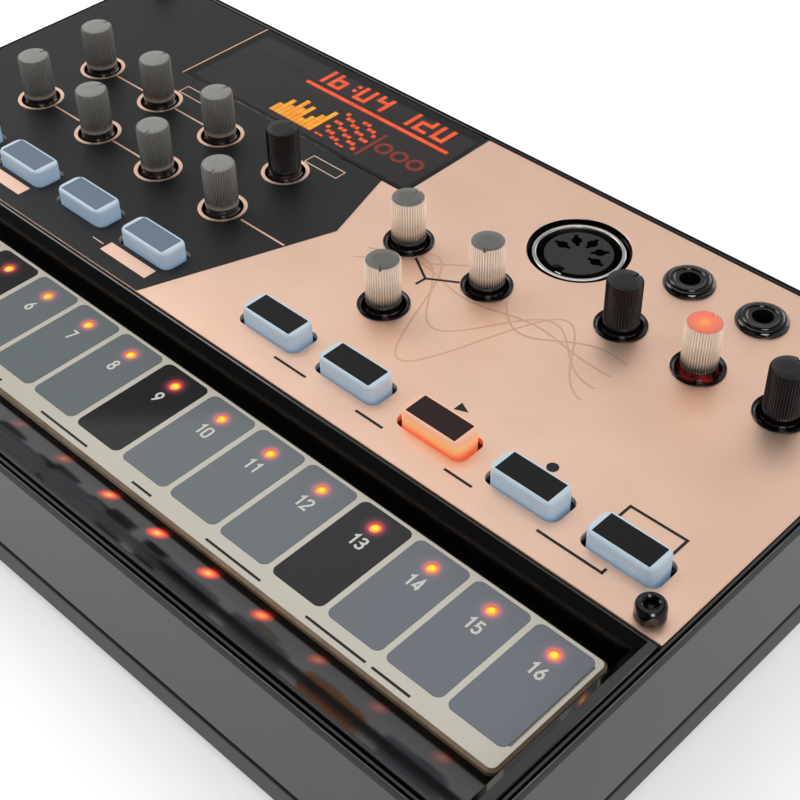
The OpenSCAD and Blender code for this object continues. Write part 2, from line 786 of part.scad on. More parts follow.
module dc_socket() {
    half_w = 4.6;
    body_h = 8;
    body_d = 12.7;
    color("#1b1b1e") difference() {
        union() {
            span([dc_x - half_w, inner_y - seat - body_d, socket_z],
                 [dc_x + half_w, inner_y - seat, socket_z + body_h]);
            translate([dc_x, case_d / 2 - 0.3, dc_z]) rotate([90, 0, 0]) cylinder(d = dc_barrel, h = 6);
        }
        translate([dc_x, case_d / 2 + 1, dc_z]) rotate([90, 0, 0]) difference() {
            cylinder(d = 5.7, h = 10);
            cylinder(d = 1.7, h = 12);
        }
    }
}

module power_switch() {
    color("#8d9094") difference() {
        span([slider_x - 5, inner_y - 6, socket_z],
             [slider_x + 5 + slider_travel, inner_y - 1.2, slider_z + 2.2]);
        span([slider_x - 2.6, inner_y - 4.5, slider_z - 1.2],
             [slider_x + 2.6 + slider_travel, inner_y, slider_z + 1.2]);
    }
}

module power_slider() {
    half_w = 1.8;
    half_h = 0.9;
    color("#3a3a3d")
        span([slider_x - half_w, inner_y - 4.2, slider_z - half_h],
             [slider_x + half_w, case_d / 2 - 0.3, slider_z + half_h]);
}

module speaker() {
    color("#4a4a4e") translate([speaker_x, speaker_y, floor_z]) {
        difference() {
            cylinder(d = speaker_dia, h = speaker_h * 0.4);
            translate([0, 0, -1]) cylinder(d = speaker_dia - 4, h = 2.2);
        }
        translate([0, 0, speaker_h * 0.3]) cylinder(d = speaker_dia * 0.55, h = speaker_h * 0.7);
    }
}

module battery_contacts() {
    color("#c8c9cb")
        for (side = [-1, 1], i = [0:2])
            translate([side * (bay_x - 0.5), bay_y0 + (i + 0.5) * cell_pitch + 0.1, cell_z])
                rotate([0, side * -90, 0]) {
                    translate([-5, -5, -0.5]) cube([10, 10, 0.5]);
                    rotate_extrude()
                        polygon([[0, -eps], [4, -eps], [2.4, bay_x - cell_len - 1.2], [0, bay_x - cell_len - 1.2]]);
                }
}

module batteries() {
    tip = 1.3;
    color("#7d8187")
        for (side = [-1, 1], i = [0:2])
            translate([side * (cell_len + 0.4), bay_y0 + (i + 0.5) * cell_pitch + 0.1, cell_z])
                rotate([0, side * -90, 0]) {
                    translate([0, 0, tip]) cylinder(d = cell_dia, h = cell_len - tip);
                    cylinder(d = 5.5, h = tip + eps);
                }
}

module battery_cover() {
    z1 = case_z + cover_t;
    x1 = cover_x - seat;
    grip_pitch = 3;
    color("#2b2b2d") difference() {
        union() {
            span([-x1, cover_y0 + seat, case_z], [x1, case_d / 2, z1]);
            span([-x1 - tongue, cover_y0 + seat, case_z + cover_t / 3], [x1 + tongue, case_d / 2, z1]);
        }
        for (i = [0:4])
            translate([0, case_d / 2 - 8 - i * grip_pitch, case_z])
                rotate([0, 90, 0]) cylinder(d = 1.4, h = 24, center = true, $fn = 24);
    }
}

module rubber_feet() {
    color("#111111")
        for (x = [-1, 1], y = [-1, 1])
            translate([x * (case_w / 2 - 15), y * (case_d / 2 - 12), 0]) cylinder(d = foot_dia, h = foot_h);
}

module panel_bolts() {
    color("#222225")
        for (s = BOLT_SPOTS) translate([s[0], s[1], panel_z]) difference() {
            union() {
                cylinder(d = bolt_head, h = bolt_head_h);
                translate([0, 0, -panel_t - bolt_len + 0.5]) cylinder(d = bolt_dia, h = bolt_len + panel_t);
            }
            translate([0, 0, bolt_head_h / 2]) cylinder(d = bolt_socket / cos(30), h = bolt_head_h, $fn = 6);
        }
}

module case_screws() {
    color("#3a3a3e")
        for (s = SCREW_SPOTS) translate([s[0], s[1], case_z + 0.1]) difference() {
            union() {
                cylinder(d = screw_head, h = screw_head_h);
                cylinder(d = bolt_dia, h = screw_len + floor_t - 1);
            }
            for (a = [0, 90]) rotate(a) cube([3, 0.6, 1], center = true);
        }
}

// How far a knob turns clockwise from the middle to its stop
full_turn = 150;

smoke = "#8f8a85";
jet = "#141416";
ice = "#c5d3dc";

module level_knob() { color(smoke) ribbed_knob(KNOB_SPOTS[0]); }
module pitch_knob() { color(smoke) ribbed_knob(KNOB_SPOTS[1]); }
module attack_knob() { color(smoke) ribbed_knob(KNOB_SPOTS[2]); }
module amount_knob() { color(smoke) ribbed_knob(KNOB_SPOTS[3]); }
module release_knob() { color(smoke) ribbed_knob(KNOB_SPOTS[4], full_turn); }
module rate_knob() { color(smoke) ribbed_knob(KNOB_SPOTS[5]); }
module send_knob() { color(smoke) ribbed_knob(KNOB_SPOTS[6], full_turn); }
module decay_knob() { color(smoke) ribbed_knob(KNOB_SPOTS[7]); }
module tune_knob() { color(smoke) ribbed_knob(KNOB_SPOTS[8], 144); }
module body_knob() { color(smoke) ribbed_knob(KNOB_SPOTS[9], full_turn); }
module swing_knob() { color(jet) ribbed_knob(KNOB_SPOTS[10], 16); }
module tempo_knob() { color("#e8663c") ribbed_knob(KNOB_SPOTS[11]); }
module volume_knob() { color(jet) ribbed_knob(KNOB_SPOTS[12]); }
module select_encoder() { color(jet) ribbed_knob(ENCODER_SPOT); }

module part_button() { color(ice) button_cap(BUTTON_X[0]); }
module edit_button() { color(ice) button_cap(BUTTON_X[1]); }
module active_button() { color(ice) button_cap(BUTTON_X[2]); }
module layer_button() { color(ice) button_cap(BUTTON_X[3]); }
module jump_button() { color(ice) button_cap(BUTTON_X[4]); }
module mute_button() { color(ice) button_cap(BUTTON_X[5]); }
module play_button() { color("#ff9a4a") button_cap(BUTTON_X[6]); }
module record_button() { color(ice) button_cap(BUTTON_X[7]); }
module function_button() { color(ice) button_cap(BUTTON_X[8]); }

lower_case();
top_case();
panel_plate();
display_window();
display_module();
touch_strip();
step_pads();
touch_board();
step_lights();
bezel_lights();
bezel_board();
panel_board();
main_board();
board_spacers();
board_connector();
jack_board();
power_board();
knob_collars();
pot_bodies();
encoder_body();
switch_bodies();
din_shell();
din_insulator();
jack_sockets();
jack_nuts();
dc_socket();
power_switch();
power_slider();
speaker();
battery_contacts();
batteries();
battery_cover();
rubber_feet();
panel_bolts();
case_screws();
level_knob();
pitch_knob();
amount_knob();
attack_knob();
rate_knob();
release_knob();
send_knob();
select_encoder();
decay_knob();
tune_knob();
body_knob();
swing_knob();
tempo_knob();
volume_knob();
part_button();
edit_button();
active_button();
layer_button();
jump_button();
mute_button();
play_button();
record_button();
function_button();
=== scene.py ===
# %% [markdown]
# # Dressing a tabletop drum machine
#
# The construction model gives every piece its place and its size. This lesson gives the pieces
# their looks: rounded edges that catch the light, print on the metal, ribs on the knobs, and a
# finish for each material. A small machine like this is mostly black gloss plastic around one
# sheet of satin metal, so its looks live in thin highlights, small gaps and tiny lights.
#
# Lengths below are written in millimetres, as a maker would measure them, and one factor turns
# them into Blender's metres.

# %% Load the construction model
import math
import bmesh
import bpy
from mathutils import Matrix, Vector


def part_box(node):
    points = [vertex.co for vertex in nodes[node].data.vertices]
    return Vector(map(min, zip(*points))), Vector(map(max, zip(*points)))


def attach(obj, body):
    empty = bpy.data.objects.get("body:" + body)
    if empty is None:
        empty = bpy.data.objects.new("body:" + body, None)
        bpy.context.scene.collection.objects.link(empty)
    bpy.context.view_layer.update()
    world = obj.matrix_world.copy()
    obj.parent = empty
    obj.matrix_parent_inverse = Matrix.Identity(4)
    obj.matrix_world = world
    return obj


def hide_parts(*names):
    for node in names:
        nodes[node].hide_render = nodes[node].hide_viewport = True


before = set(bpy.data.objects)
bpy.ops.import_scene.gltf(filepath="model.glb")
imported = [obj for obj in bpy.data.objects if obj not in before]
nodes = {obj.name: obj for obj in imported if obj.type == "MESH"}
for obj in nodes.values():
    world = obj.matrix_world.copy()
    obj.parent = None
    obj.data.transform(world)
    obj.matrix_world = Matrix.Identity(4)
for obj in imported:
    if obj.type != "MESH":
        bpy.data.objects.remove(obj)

MM = 0.001
scene = bpy.context.scene
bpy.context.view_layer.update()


def span_of(node):
    """Lowest and highest corners of a node, in millimetres."""
    low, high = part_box(node)
    return low / MM, high / MM


def centre_of(node):
    """The middle of a node in x and y."""
    low, high = span_of(node)
    return ((low.x + high.x) / 2, (low.y + high.y) / 2)


def corner_spots(node, inset, z):
    """Spots at a height, one in each corner of a node's box and moved in by an inset."""
    low, high = span_of(node)
    return [(x, y, z) for x in (low.x + inset, high.x - inset) for y in (low.y + inset, high.y - inset)]


case_high = span_of("top_case")[1]
panel_low, panel_high = span_of("panel_plate")
panel_z = panel_high.z
print("pieces in the construction model:", len(nodes), "- panel face at", round(panel_z, 2), "mm")

# %% [markdown]
# ## The camera
#
# A longish lens looks down over the front right corner, turned so that the instrument runs
# across the frame on the diagonal. The camera is written as a place and three directions,
# which leaves no doubt about its roll.

# %% Place the camera
camera = bpy.data.objects.new("portrait_camera", bpy.data.cameras.new("portrait_camera"))
scene.collection.objects.link(camera)
scene.camera = camera
camera.data.lens = 70.77
camera.data.sensor_width = 36
camera.data.clip_start = 0.01
stand = Vector((0.16201, -0.13273, 0.19193))
to_right = Vector((0.7191, 0.6948, -0.0144))
to_top = Vector((-0.4618, 0.4933, 0.7372))
backwards = Vector((0.5193, -0.5234, 0.6756))
camera.matrix_world = (Matrix.Translation(stand)
                       @ Matrix((to_right, to_top, backwards)).transposed().to_4x4())
scene.view_settings.view_transform = "Standard"
print("camera at", [round(value, 3) for value in stand])

# %% [markdown]
# ## Helpers for materials
#
# Colours are picked as sRGB hex values, the way a paint chart gives them, while shaders work
# with linear light. One function turns one into the other. A second function adds any node
# with its settings and links. No real surface is quite even, so a third one starts a finish
# with its patterns: a moulded grain that bends the light, a mottling of the colour, or wipe
# marks in the gloss. The size of each pattern is a length on the real surface.

# %% Colour, node and finish helpers


def colour(hex_text):
    """A shader colour from an sRGB hex value."""
    channels = [int(hex_text[i:i + 2], 16) / 255 for i in (1, 3, 5)]
    return (*[c / 12.92 if c <= 0.04045 else ((c + 0.055) / 1.055) ** 2.4 for c in channels], 1.0)


def add(tree, kind, inputs=None, to=None, steps=None, **settings):
    """Adds a node. An input is a number, a colour, a socket or a node, which gives its first
    output. to is the socket that the new node feeds, and steps are the stops of a ramp."""
    node = tree.nodes.new(kind)
    for name, value in settings.items():
        setattr(node, name, value)
    for socket, value in (inputs or {}).items():
        if isinstance(value, bpy.types.Node):
            value = value.outputs[0]
        if isinstance(value, bpy.types.NodeSocket):
            tree.links.new(value, node.inputs[socket])
        else:
            node.inputs[socket].default_value = value
    if steps:
        stops = node.color_ramp.elements
        while len(stops) < len(steps):
            stops.new(0.5)
        for stop, (position, shade) in zip(stops, steps):
            stop.position = position
            stop.color = colour(shade)
    if to is not None:
        tree.links.new(node.outputs[0], to)
    return node


def start_finish(name, settings, *patterns):
    """A new material: its node tree, its shader and the piece's own coordinates. A pattern is
    noise of a size in millimetres. It bends the light by a depth in millimetres, tints the
    shader's colour, or varies its roughness between two values."""
    material = bpy.data.materials.new(name)
    material.use_nodes = True
    tree = material.node_tree
    shader = tree.nodes["Principled BSDF"]
    for socket, value in settings.items():
        shader.inputs[socket].default_value = value
    where = add(tree, "ShaderNodeTexCoord").outputs["Object"]
    for pattern in patterns:
        noise = add(tree, "ShaderNodeTexNoise", {
            "Vector": where, "Scale": 1 / (pattern["size"] * MM), "Detail": pattern.get("detail", 2.0)})
        if "depth" in pattern:
            add(tree, "ShaderNodeBump", {"Height": noise, "Distance": pattern["depth"] * MM},
                to=shader.inputs["Normal"])
        if "tints" in pattern:
            add(tree, "ShaderNodeValToRGB", {"Fac": noise}, steps=pattern["tints"],
                to=shader.inputs[pattern.get("on", "Base Color")])
        if "roughness" in pattern:
            low, high = pattern["roughness"]
            add(tree, "ShaderNodeMapRange", {"Value": noise, "To Min": low, "To Max": high},
                to=shader.inputs["Roughness"])
    return material, tree, shader, where


def finish(name, settings, *patterns):
    """A material that needs no more than its patterns."""
    return start_finish(name, settings, *patterns)[0]


print("a mid grey of #808080 is", round(colour("#808080")[0], 3), "in linear light")

# %% [markdown]
# ## Stage and light
#
# The table is plain white. White is the colour that the camera and the reflections see on it,
# and the lamps only add the soft shadow. A large soft box hangs over the back left corner, two
# small ones stand at the left and at the front right, and a low one behind gives the edges
# their thin highlights. In the gloss of the plastic the room is bright near the table and dark
# overhead and in front, so that the black stays deep. One bright window is left in the dark
# part, and the small round parts take their glints from it.

# %% Set the table
reach = 3.0
table = bpy.data.meshes.new("table")
table.from_pydata([(-reach, -reach, 0), (reach, -reach, 0), (reach, reach, 0), (-reach, reach, 0)],
                  [], [(0, 1, 2, 3)])
table_top = bpy.data.objects.new("table", table)
scene.collection.objects.link(table_top)
white = colour("#FFFFFF")
paper, tree, shader, where = start_finish("white_paper", {
    "Base Color": colour("#F4F4F5"), "Roughness": 0.7, "Specular IOR Level": 0.1, "Emission Color": white})
table.materials.append(paper)
glow_share, mirrored_share = 0.45, 0.68
rays = add(tree, "ShaderNodeLightPath").outputs
seen = add(tree, "ShaderNodeMath", {0: rays["Is Camera Ray"], 1: rays["Is Transmission Ray"]},
           operation="ADD")
seen = add(tree, "ShaderNodeMath", {0: rays["Is Glossy Ray"], 1: mirrored_share, 2: seen},
           operation="MULTIPLY_ADD")
add(tree, "ShaderNodeMath", {0: seen, 1: glow_share}, to=shader.inputs["Emission Strength"],
    operation="MULTIPLY")
print("table finish:", paper.name)

# %% Light the room
world = bpy.data.worlds.new("studio")
scene.world = world
world.use_nodes = True
tree = world.node_tree
tree.nodes.clear()
direction = add(tree, "ShaderNodeTexCoord").outputs["Generated"]
towards = add(tree, "ShaderNodeSeparateXYZ", {0: direction}).outputs
room = add(tree, "ShaderNodeValToRGB", {"Fac": towards["Z"]}, steps=[
    (0.0, "#FFFFFF"), (0.3, "#FFFFFF"), (0.45, "#BCBABA"), (0.62, "#BCBABA"), (0.76, "#666566"),
    (1.0, "#454546")])
# above the horizon the room is dark in front and bright behind
behind = add(tree, "ShaderNodeMapRange", {
    "Value": towards["Y"], "From Min": -0.35, "From Max": 0.15, "To Min": 0.14, "To Max": 1.0})
above = add(tree, "ShaderNodeMapRange", {"Value": towards["Z"], "From Min": 0.0, "From Max": 0.15})
dimmed = add(tree, "ShaderNodeMix", {"Factor": above, "A": 1.0, "B": behind}).outputs["Result"]
# the bright window in front, up on the right
pane = Vector((0.5, -0.37, 0.78)).normalized()
facing = add(tree, "ShaderNodeVectorMath", {0: direction, 1: pane}, operation="DOT_PRODUCT")
window = add(tree, "ShaderNodeMapRange", {
    "Value": facing.outputs["Value"], "From Min": 0.968, "From Max": 0.984, "To Max": 50.0})
lit_room = add(tree, "ShaderNodeMath", {0: dimmed, 1: window}, operation="ADD")
plain = add(tree, "ShaderNodeBackground", {"Color": white, "Strength": 0.42})
mirrored = add(tree, "ShaderNodeBackground", {"Color": room, "Strength": lit_room})
backdrop = add(tree, "ShaderNodeBackground", {"Color": white, "Strength": 1.0})
rays = add(tree, "ShaderNodeLightPath").outputs
seen = add(tree, "ShaderNodeMath", {0: rays["Is Camera Ray"], 1: rays["Is Transmission Ray"]},
           operation="ADD")
soft = add(tree, "ShaderNodeMixShader", {0: rays["Is Glossy Ray"], 1: plain, 2: mirrored})
both = add(tree, "ShaderNodeMixShader", {0: seen, 1: soft, 2: backdrop})
add(tree, "ShaderNodeOutputWorld", {0: both})


def soft_box(name, spot, target, size, watts):
    """A square lamp that faces a point on the table."""
    light = bpy.data.lights.new(name, "AREA")
    light.size = size
    light.energy = watts
    lamp = bpy.data.objects.new(name, light)
    scene.collection.objects.link(lamp)
    away = Vector(spot) - Vector(target)
    lamp.matrix_world = Matrix.Translation(spot) @ away.to_track_quat("Z", "Y").to_matrix().to_4x4()


soft_box("overhead_box", (-0.3, 0.3, 0.95), (0, 0, 0), 0.8, 2.0)
soft_box("left_box", (-0.5, -0.02, 0.5), (0, 0, 0), 0.3, 1.3)
soft_box("fill_box", (0.9, -0.75, 0.5), (0.05, 0, 0), 0.5, 1.1)
soft_box("edge_box", (0.15, 1.1, 0.35), (0, 0, 0.02), 0.7, 2.4)
print("lamps:", [light.name for light in bpy.data.lights])

# %% [markdown]
# ## Finishes of the case
#
# The upper shell is black ABS from a polished mould, so it mirrors the room in a slightly wavy
# way. The slope around its top is left unpolished, and the crest above it carries a painted
# highlight: a lighter grey that stands for the thin reflection of a lamp along the edge. The
# lower shell comes from a spark-eroded mould, which leaves a fine even grain that dulls the
# reflection. The grain is really about 0.1 mm wide and is drawn a little coarser so that it
# shows.

# %% Case plastics
case_gloss = finish("polished_black_abs", {"Base Color": colour("#0A0A0C"), "IOR": 1.53},
                    dict(size=9, detail=1.0, depth=0.004),
                    dict(size=2.5, detail=4.0, roughness=(0.05, 0.11)))
case_edge = finish("unpolished_black_edge", {
    "Base Color": colour("#131316"), "Roughness": 0.5, "IOR": 1.4}, dict(size=0.5, depth=0.004))
# painted highlight: the crest's lighter grey stands for the reflection of a lamp along the rim
crest_highlight_paint = finish("crest_painted_highlight", {"Roughness": 0.3, "IOR": 1.5},
                    dict(size=6, tints=[(0.35, "#545A5E"), (0.65, "#73797D")]))
case_textured = finish("grained_black_abs", {"Roughness": 0.45, "IOR": 1.53},
                       dict(size=0.35, detail=3.0, depth=0.03),
                       dict(size=20, tints=[(0.3, "#373736"), (0.7, "#403F3E")]))
print("case finishes:", [m.name for m in (case_gloss, case_edge, crest_highlight_paint, case_textured)])

# %% [markdown]
# ## The metal panel
#
# The panel is sheet aluminium, blasted with fine beads and then anodised in a warm rose gold.
# Anodising colours the oxide but the metal still shines through it, so the finish is fully
# metallic, quite rough and without any brushing lines. Two scales of noise stand for the bead
# pits and for the slight unevenness of the dye. The ink is screen printed and dries matt.

# %% Anodised aluminium and printing ink
panel_metal = finish("blasted_rose_gold_aluminium", {"Metallic": 1.0},
                     dict(size=0.3, depth=0.012, roughness=(0.40, 0.52)),
                     dict(size=14, detail=3.0, tints=[(0.3, "#EDC8B1"), (0.7, "#F4D0BA")]))
panel_ink = finish("black_screen_ink", {"Roughness": 0.45, "IOR": 1.36},
                   dict(size=0.25, depth=0.008, tints=[(0.35, "#101113"), (0.65, "#151618")]))
panel_tone = finish("etched_rose_gold", {
    "Base Color": colour("#DCB59C"), "Metallic": 1.0, "Roughness": 0.46}, dict(size=0.2, depth=0.01))
print("panel finishes:", panel_metal.name, panel_ink.name, panel_tone.name)

# %% [markdown]
# ## Clear, black and lit plastics for the controls
#
# The small knobs are the clear ribbed shafts of the controls themselves, moulded in
# polycarbonate. Light enters at the ribs and leaves somewhere else, and this is painted into the
# body's colour: peach over the metal and grey over the dark field, a painted dark foot where the
# black cup is reflected, painted shade between the ribs and a faint painted glow. The flat top is
# left matt by the mould and is painted lighter over the dark field, and the foot flares out in
# black. One knob has a light below it, which reddens its foot and fills its top.

# %% Knob plastics
ribs_low_z, knob_top_z, knob_radius = 30.8, 39.0, 3.0


def clear_plastic(name, steps, spread):
    """Clear ribbed plastic that passes half of the light on. Its colour is painted light: a colour
    that climbs with height from a painted dark foot, a painted shade between the ribs, and a faint
    painted glow of the same colour, as strong as spread. The carrier's valley attribute says how
    deep a point lies between the ribs."""
    material, tree, shader, where = start_finish(name, {
        "IOR": 1.5, "Transmission Weight": 0.45, "Emission Strength": spread},
        dict(size=1.2, roughness=(0.03, 0.08)))
    height = add(tree, "ShaderNodeSeparateXYZ", {0: where}).outputs["Z"]
    climb = add(tree, "ShaderNodeMapRange", {
        "Value": height, "From Min": ribs_low_z * MM, "From Max": knob_top_z * MM})
    body = add(tree, "ShaderNodeValToRGB", {"Fac": climb}, steps=steps)
    valley = add(tree, "ShaderNodeAttribute", attribute_name="valley").outputs["Fac"]
    shade = add(tree, "ShaderNodeMapRange", {"Value": valley, "To Min": 1.0, "To Max": 0.45})
    grey = add(tree, "ShaderNodeCombineColor", {0: shade, 1: shade, 2: shade})
    ribs = add(tree, "ShaderNodeMix", {"Factor": 1.0, "A": body.outputs[0], "B": grey.outputs[0]},
               data_type="RGBA", blend_type="MULTIPLY").outputs["Result"]
    tree.links.new(ribs, shader.inputs["Base Color"])
    tree.links.new(ribs, shader.inputs["Emission Color"])
    return material


# painted light: a dark foot for the reflected black cup and the panel's peach seen through the knob
knob_clear = clear_plastic("clear_polycarbonate", [
    (0.0, "#1E1B18"), (0.1, "#3E3933"), (0.3, "#E8CDB6"), (0.6, "#FFEAD8"), (1.0, "#F2E2D4")], 0.3)
# the same clear plastic painted grey over the dark field, with a painted bright band just above the foot
knob_clear_painted_dark_field = clear_plastic("clear_polycarbonate_painted_over_black", [
    (0.0, "#3A3530"), (0.06, "#B8A89A"), (0.14, "#6A6660"), (0.5, "#8A8782"), (1.0, "#B0ADA8")], 0.08)

knob_black, tree, shader, where = start_finish(
    "black_polycarbonate", {"Roughness": 0.2, "IOR": 1.5}, dict(size=0.6, depth=0.004))
# painted shade: the body grows darker the deeper a point lies between the ribs
valley = add(tree, "ShaderNodeAttribute", attribute_name="valley").outputs["Fac"]
add(tree, "ShaderNodeValToRGB", {"Fac": valley}, to=shader.inputs["Base Color"],
    steps=[(0.0, "#0E0A08"), (0.4, "#050404"), (1.0, "#000000")])
print("knob bodies:", knob_clear.name, knob_clear_painted_dark_field.name, knob_black.name)

# %% Tops and feet of the knobs
gate_marks = dict(size=0.5, depth=0.01)
knob_top = finish("matt_knob_top", {
    "Base Color": colour("#6C6B66"), "Roughness": 0.28, "IOR": 1.45}, gate_marks)
# the same matt top, painted lighter where the knob stands on the dark field
knob_top_painted_lighter = finish("matt_knob_top_painted_lighter", {
    "Base Color": colour("#93928C"), "Roughness": 0.35, "IOR": 1.45}, gate_marks)
black_top = finish("matt_black_knob_top", {
    "Base Color": colour("#0A0A0B"), "Roughness": 0.4, "IOR": 1.4}, gate_marks)
knob_foot = finish("black_knob_foot", {
    "Base Color": colour("#0B0A0A"), "Roughness": 0.12, "IOR": 1.55}, dict(size=1.5, depth=0.004))
foot_lit = finish("black_knob_foot_lit", {
    "Base Color": colour("#140706"), "Roughness": 0.12, "IOR": 1.55, "Emission Strength": 1.0},
    dict(size=1.6, tints=[(0.42, "#0C0202"), (0.66, "#6A1614")], on="Emission Color"))

lit_top, tree, shader, where = start_finish("lit_knob_top", {
    "Base Color": colour("#B06048"), "Roughness": 0.5, "Emission Strength": 0.62})
middle = [value * MM for value in (*centre_of("tempo_knob"), knob_top_z)]
off_centre = add(tree, "ShaderNodeVectorMath", {0: where, 1: middle}, operation="DISTANCE")
outwards = add(tree, "ShaderNodeMapRange", {
    "Value": off_centre.outputs["Value"], "From Max": knob_radius * MM})
add(tree, "ShaderNodeValToRGB", {"Fac": outwards}, to=shader.inputs["Emission Color"], steps=[
    (0.0, "#FFB050"), (0.4, "#F27A4A"), (0.85, "#DC6458"), (1.0, "#8A2A22")])
print("tops and feet:", [m.name for m in (knob_top, knob_top_painted_lighter, black_top, lit_top, knob_foot, foot_lit)])

# %% [markdown]
# ## Frosted caps and their labels
#
# The button caps are milky silicone over polycarbonate. Light scatters inside, so they look
# brightest at the top edges and bluer towards the foot, where less of it arrives: this is painted
# shade, a colour that changes with height, with a faint painted blue glow over it. A hard
# printed plate covers most of each top. One cap is lit from below by a warm lamp.

# %% Cap plastics
cap_top_z = span_of("play_button")[1].z


def cap_finish(name, settings, target, steps):
    """A plastic whose colour changes from the panel to the top of the caps."""
    material, tree, shader, where = start_finish(name, settings)
    height = add(tree, "ShaderNodeSeparateXYZ", {0: where}).outputs["Z"]
    climb = add(tree, "ShaderNodeMapRange", {
        "Value": height, "From Min": panel_z * MM, "From Max": cap_top_z * MM})
    add(tree, "ShaderNodeValToRGB", {"Fac": climb}, to=shader.inputs[target], steps=steps)
    return material


# painted shade and glow: bluer towards the foot, and a faint blue emission though no lamp stands under these
# caps
cap_milky = cap_finish("milky_silicone", {
    "Roughness": 0.38, "IOR": 1.45, "Subsurface Weight": 0.25, "Subsurface Scale": 0.001,
    "Emission Color": colour("#9CC6EE"), "Emission Strength": 0.17}, "Base Color", [
    (0.0, "#B9D3E8"), (0.35, "#C2D4E0"), (1.0, "#CCD7DC")])
cap_lit = cap_finish("milky_silicone_lit", {
    "Base Color": colour("#B89A86"), "Roughness": 0.4, "IOR": 1.45, "Emission Strength": 0.62},
    "Emission Color", [(0.0, "#FF5A2A"), (0.3, "#FF9A30"), (0.6, "#FFB45A"), (0.85, "#F2A67E"),
                       (1.0, "#E8A080")])

weave = dict(size=0.2, depth=0.004)
label_dark = finish("black_label", {
    "Base Color": colour("#070708"), "Roughness": 0.5, "IOR": 1.3}, weave)
label_slate = finish("slate_label", {
    "Base Color": colour("#6D7E91"), "Roughness": 0.32, "IOR": 1.5}, weave)
label_lit = finish("maroon_label", {
    "Base Color": colour("#160A0C"), "Roughness": 0.5, "IOR": 1.3, "Emission Color": colour("#2A0E10"),
    "Emission Strength": 0.4})
print("cap finishes:", [m.name for m in (cap_milky, cap_lit, label_dark, label_slate, label_lit)])

# %% [markdown]
# ## Finishes of the touch strip
#
# The strip is a sheet of clear acrylic printed from behind, so the print has no texture and
# lies under one even gloss. Its shade is painted lighter from the left end to the right, a
# painted reflection. Small lamps under it shine through a hole in the print of each
# pad, and part of their light spreads inside the sheet as a pink halo. The halo is worked out
# from the distance to the nearest lamp: the lamps stand at an even pitch, so the fraction of x
# over the pitch gives the way to the nearest one.

# %% The row of lamps
strip_low, strip_high = span_of("touch_strip")
pads_low, pads_high = span_of("step_pads")
lights_low, lights_high = span_of("step_lights")
pad_count = 16
light_y = centre_of("step_lights")[1]
lens_width = lights_high.y - lights_low.y
light_pitch = (lights_high.x - lights_low.x - lens_width) / (pad_count - 1)
print("lights", round(light_pitch, 3), "mm apart, at y", round(light_y, 2), "mm")


def row_distance(tree, where, row_y):
    """Distance in metres to the nearest lamp of a row that runs along X."""
    parts = add(tree, "ShaderNodeSeparateXYZ", {0: where}).outputs
    lamps_along = add(tree, "ShaderNodeMath", {0: parts["X"], 1: light_pitch * MM}, operation="DIVIDE")
    within = add(tree, "ShaderNodeMath", {0: lamps_along}, operation="FRACT")
    aside = add(tree, "ShaderNodeMath", {0: within, 1: 0.5}, operation="SUBTRACT")
    aside = add(tree, "ShaderNodeMath", {0: aside, 1: light_pitch * MM}, operation="MULTIPLY")
    ahead = add(tree, "ShaderNodeMath", {0: parts["Y"], 1: row_y * MM}, operation="SUBTRACT")
    both = add(tree, "ShaderNodeCombineXYZ", {"X": aside, "Y": ahead})
    return add(tree, "ShaderNodeVectorMath", {0: both}, operation="LENGTH").outputs["Value"]


# %% Touch strip finishes
strip_end_x, mottle_share, halo_radius = 90, 0.06, 2.6


def printed_sheet(name, shades):
    """Acrylic printed from behind, with a halo around each lamp. Its shade is painted lighter along X, a
    painted reflection.
    """
    material, tree, shader, where = start_finish(name, {
        "Roughness": 0.4, "IOR": 1.12, "Coat Weight": 0.6, "Coat Roughness": 0.06,
        "Emission Strength": 1.0})
    parts = add(tree, "ShaderNodeSeparateXYZ", {0: where}).outputs
    # painted reflection: the print grows lighter from the left end of the strip to the right
    along = add(tree, "ShaderNodeMapRange", {
        "Value": parts["X"], "From Min": -strip_end_x * MM, "From Max": strip_end_x * MM})
    mottle = add(tree, "ShaderNodeTexNoise", {"Vector": where, "Scale": 1 / (8 * MM)})
    painted_reflection_drift = add(tree, "ShaderNodeMath", {0: mottle, 1: mottle_share, 2: along}, operation="MULTIPLY_ADD")
    add(tree, "ShaderNodeValToRGB", {"Fac": painted_reflection_drift}, to=shader.inputs["Base Color"], steps=shades)
    reach = add(tree, "ShaderNodeMapRange", {
        "Value": row_distance(tree, where, light_y), "From Max": halo_radius * MM})
    add(tree, "ShaderNodeValToRGB", {"Fac": reach}, to=shader.inputs["Emission Color"], steps=[
        (0.0, "#FF8A20"), (0.24, "#FF8A20"), (0.34, "#D85038"), (0.46, "#943444"), (0.66, "#3A1820"),
        (1.0, "#000000")])
    return material


pad_grey = printed_sheet("blue_grey_print", [(0.0, "#6A7375"), (0.6, "#727A7D"), (1.0, "#787D86")])
pad_dark = printed_sheet("charcoal_print", [
    (0.0, "#0C0C0E"), (0.6, "#0F0F12"), (0.75, "#18191E"), (1.0, "#1C1D23")])
strip_cream = printed_sheet("cream_print", [(0.0, "#CFC8BA"), (1.0, "#DCD6C9")])
strip_edge = finish("tan_acrylic_edge", {"Roughness": 0.2, "IOR": 1.49, "Coat Weight": 0.6},
                    dict(size=3, tints=[(0.3, "#8F7A62"), (0.7, "#A8937A")]))
pad_number = finish("cream_number", {"Roughness": 0.35, "Coat Weight": 0.5},
                    dict(size=0.5, tints=[(0.3, "#DAD6CD"), (0.7, "#E6E2DA")]))

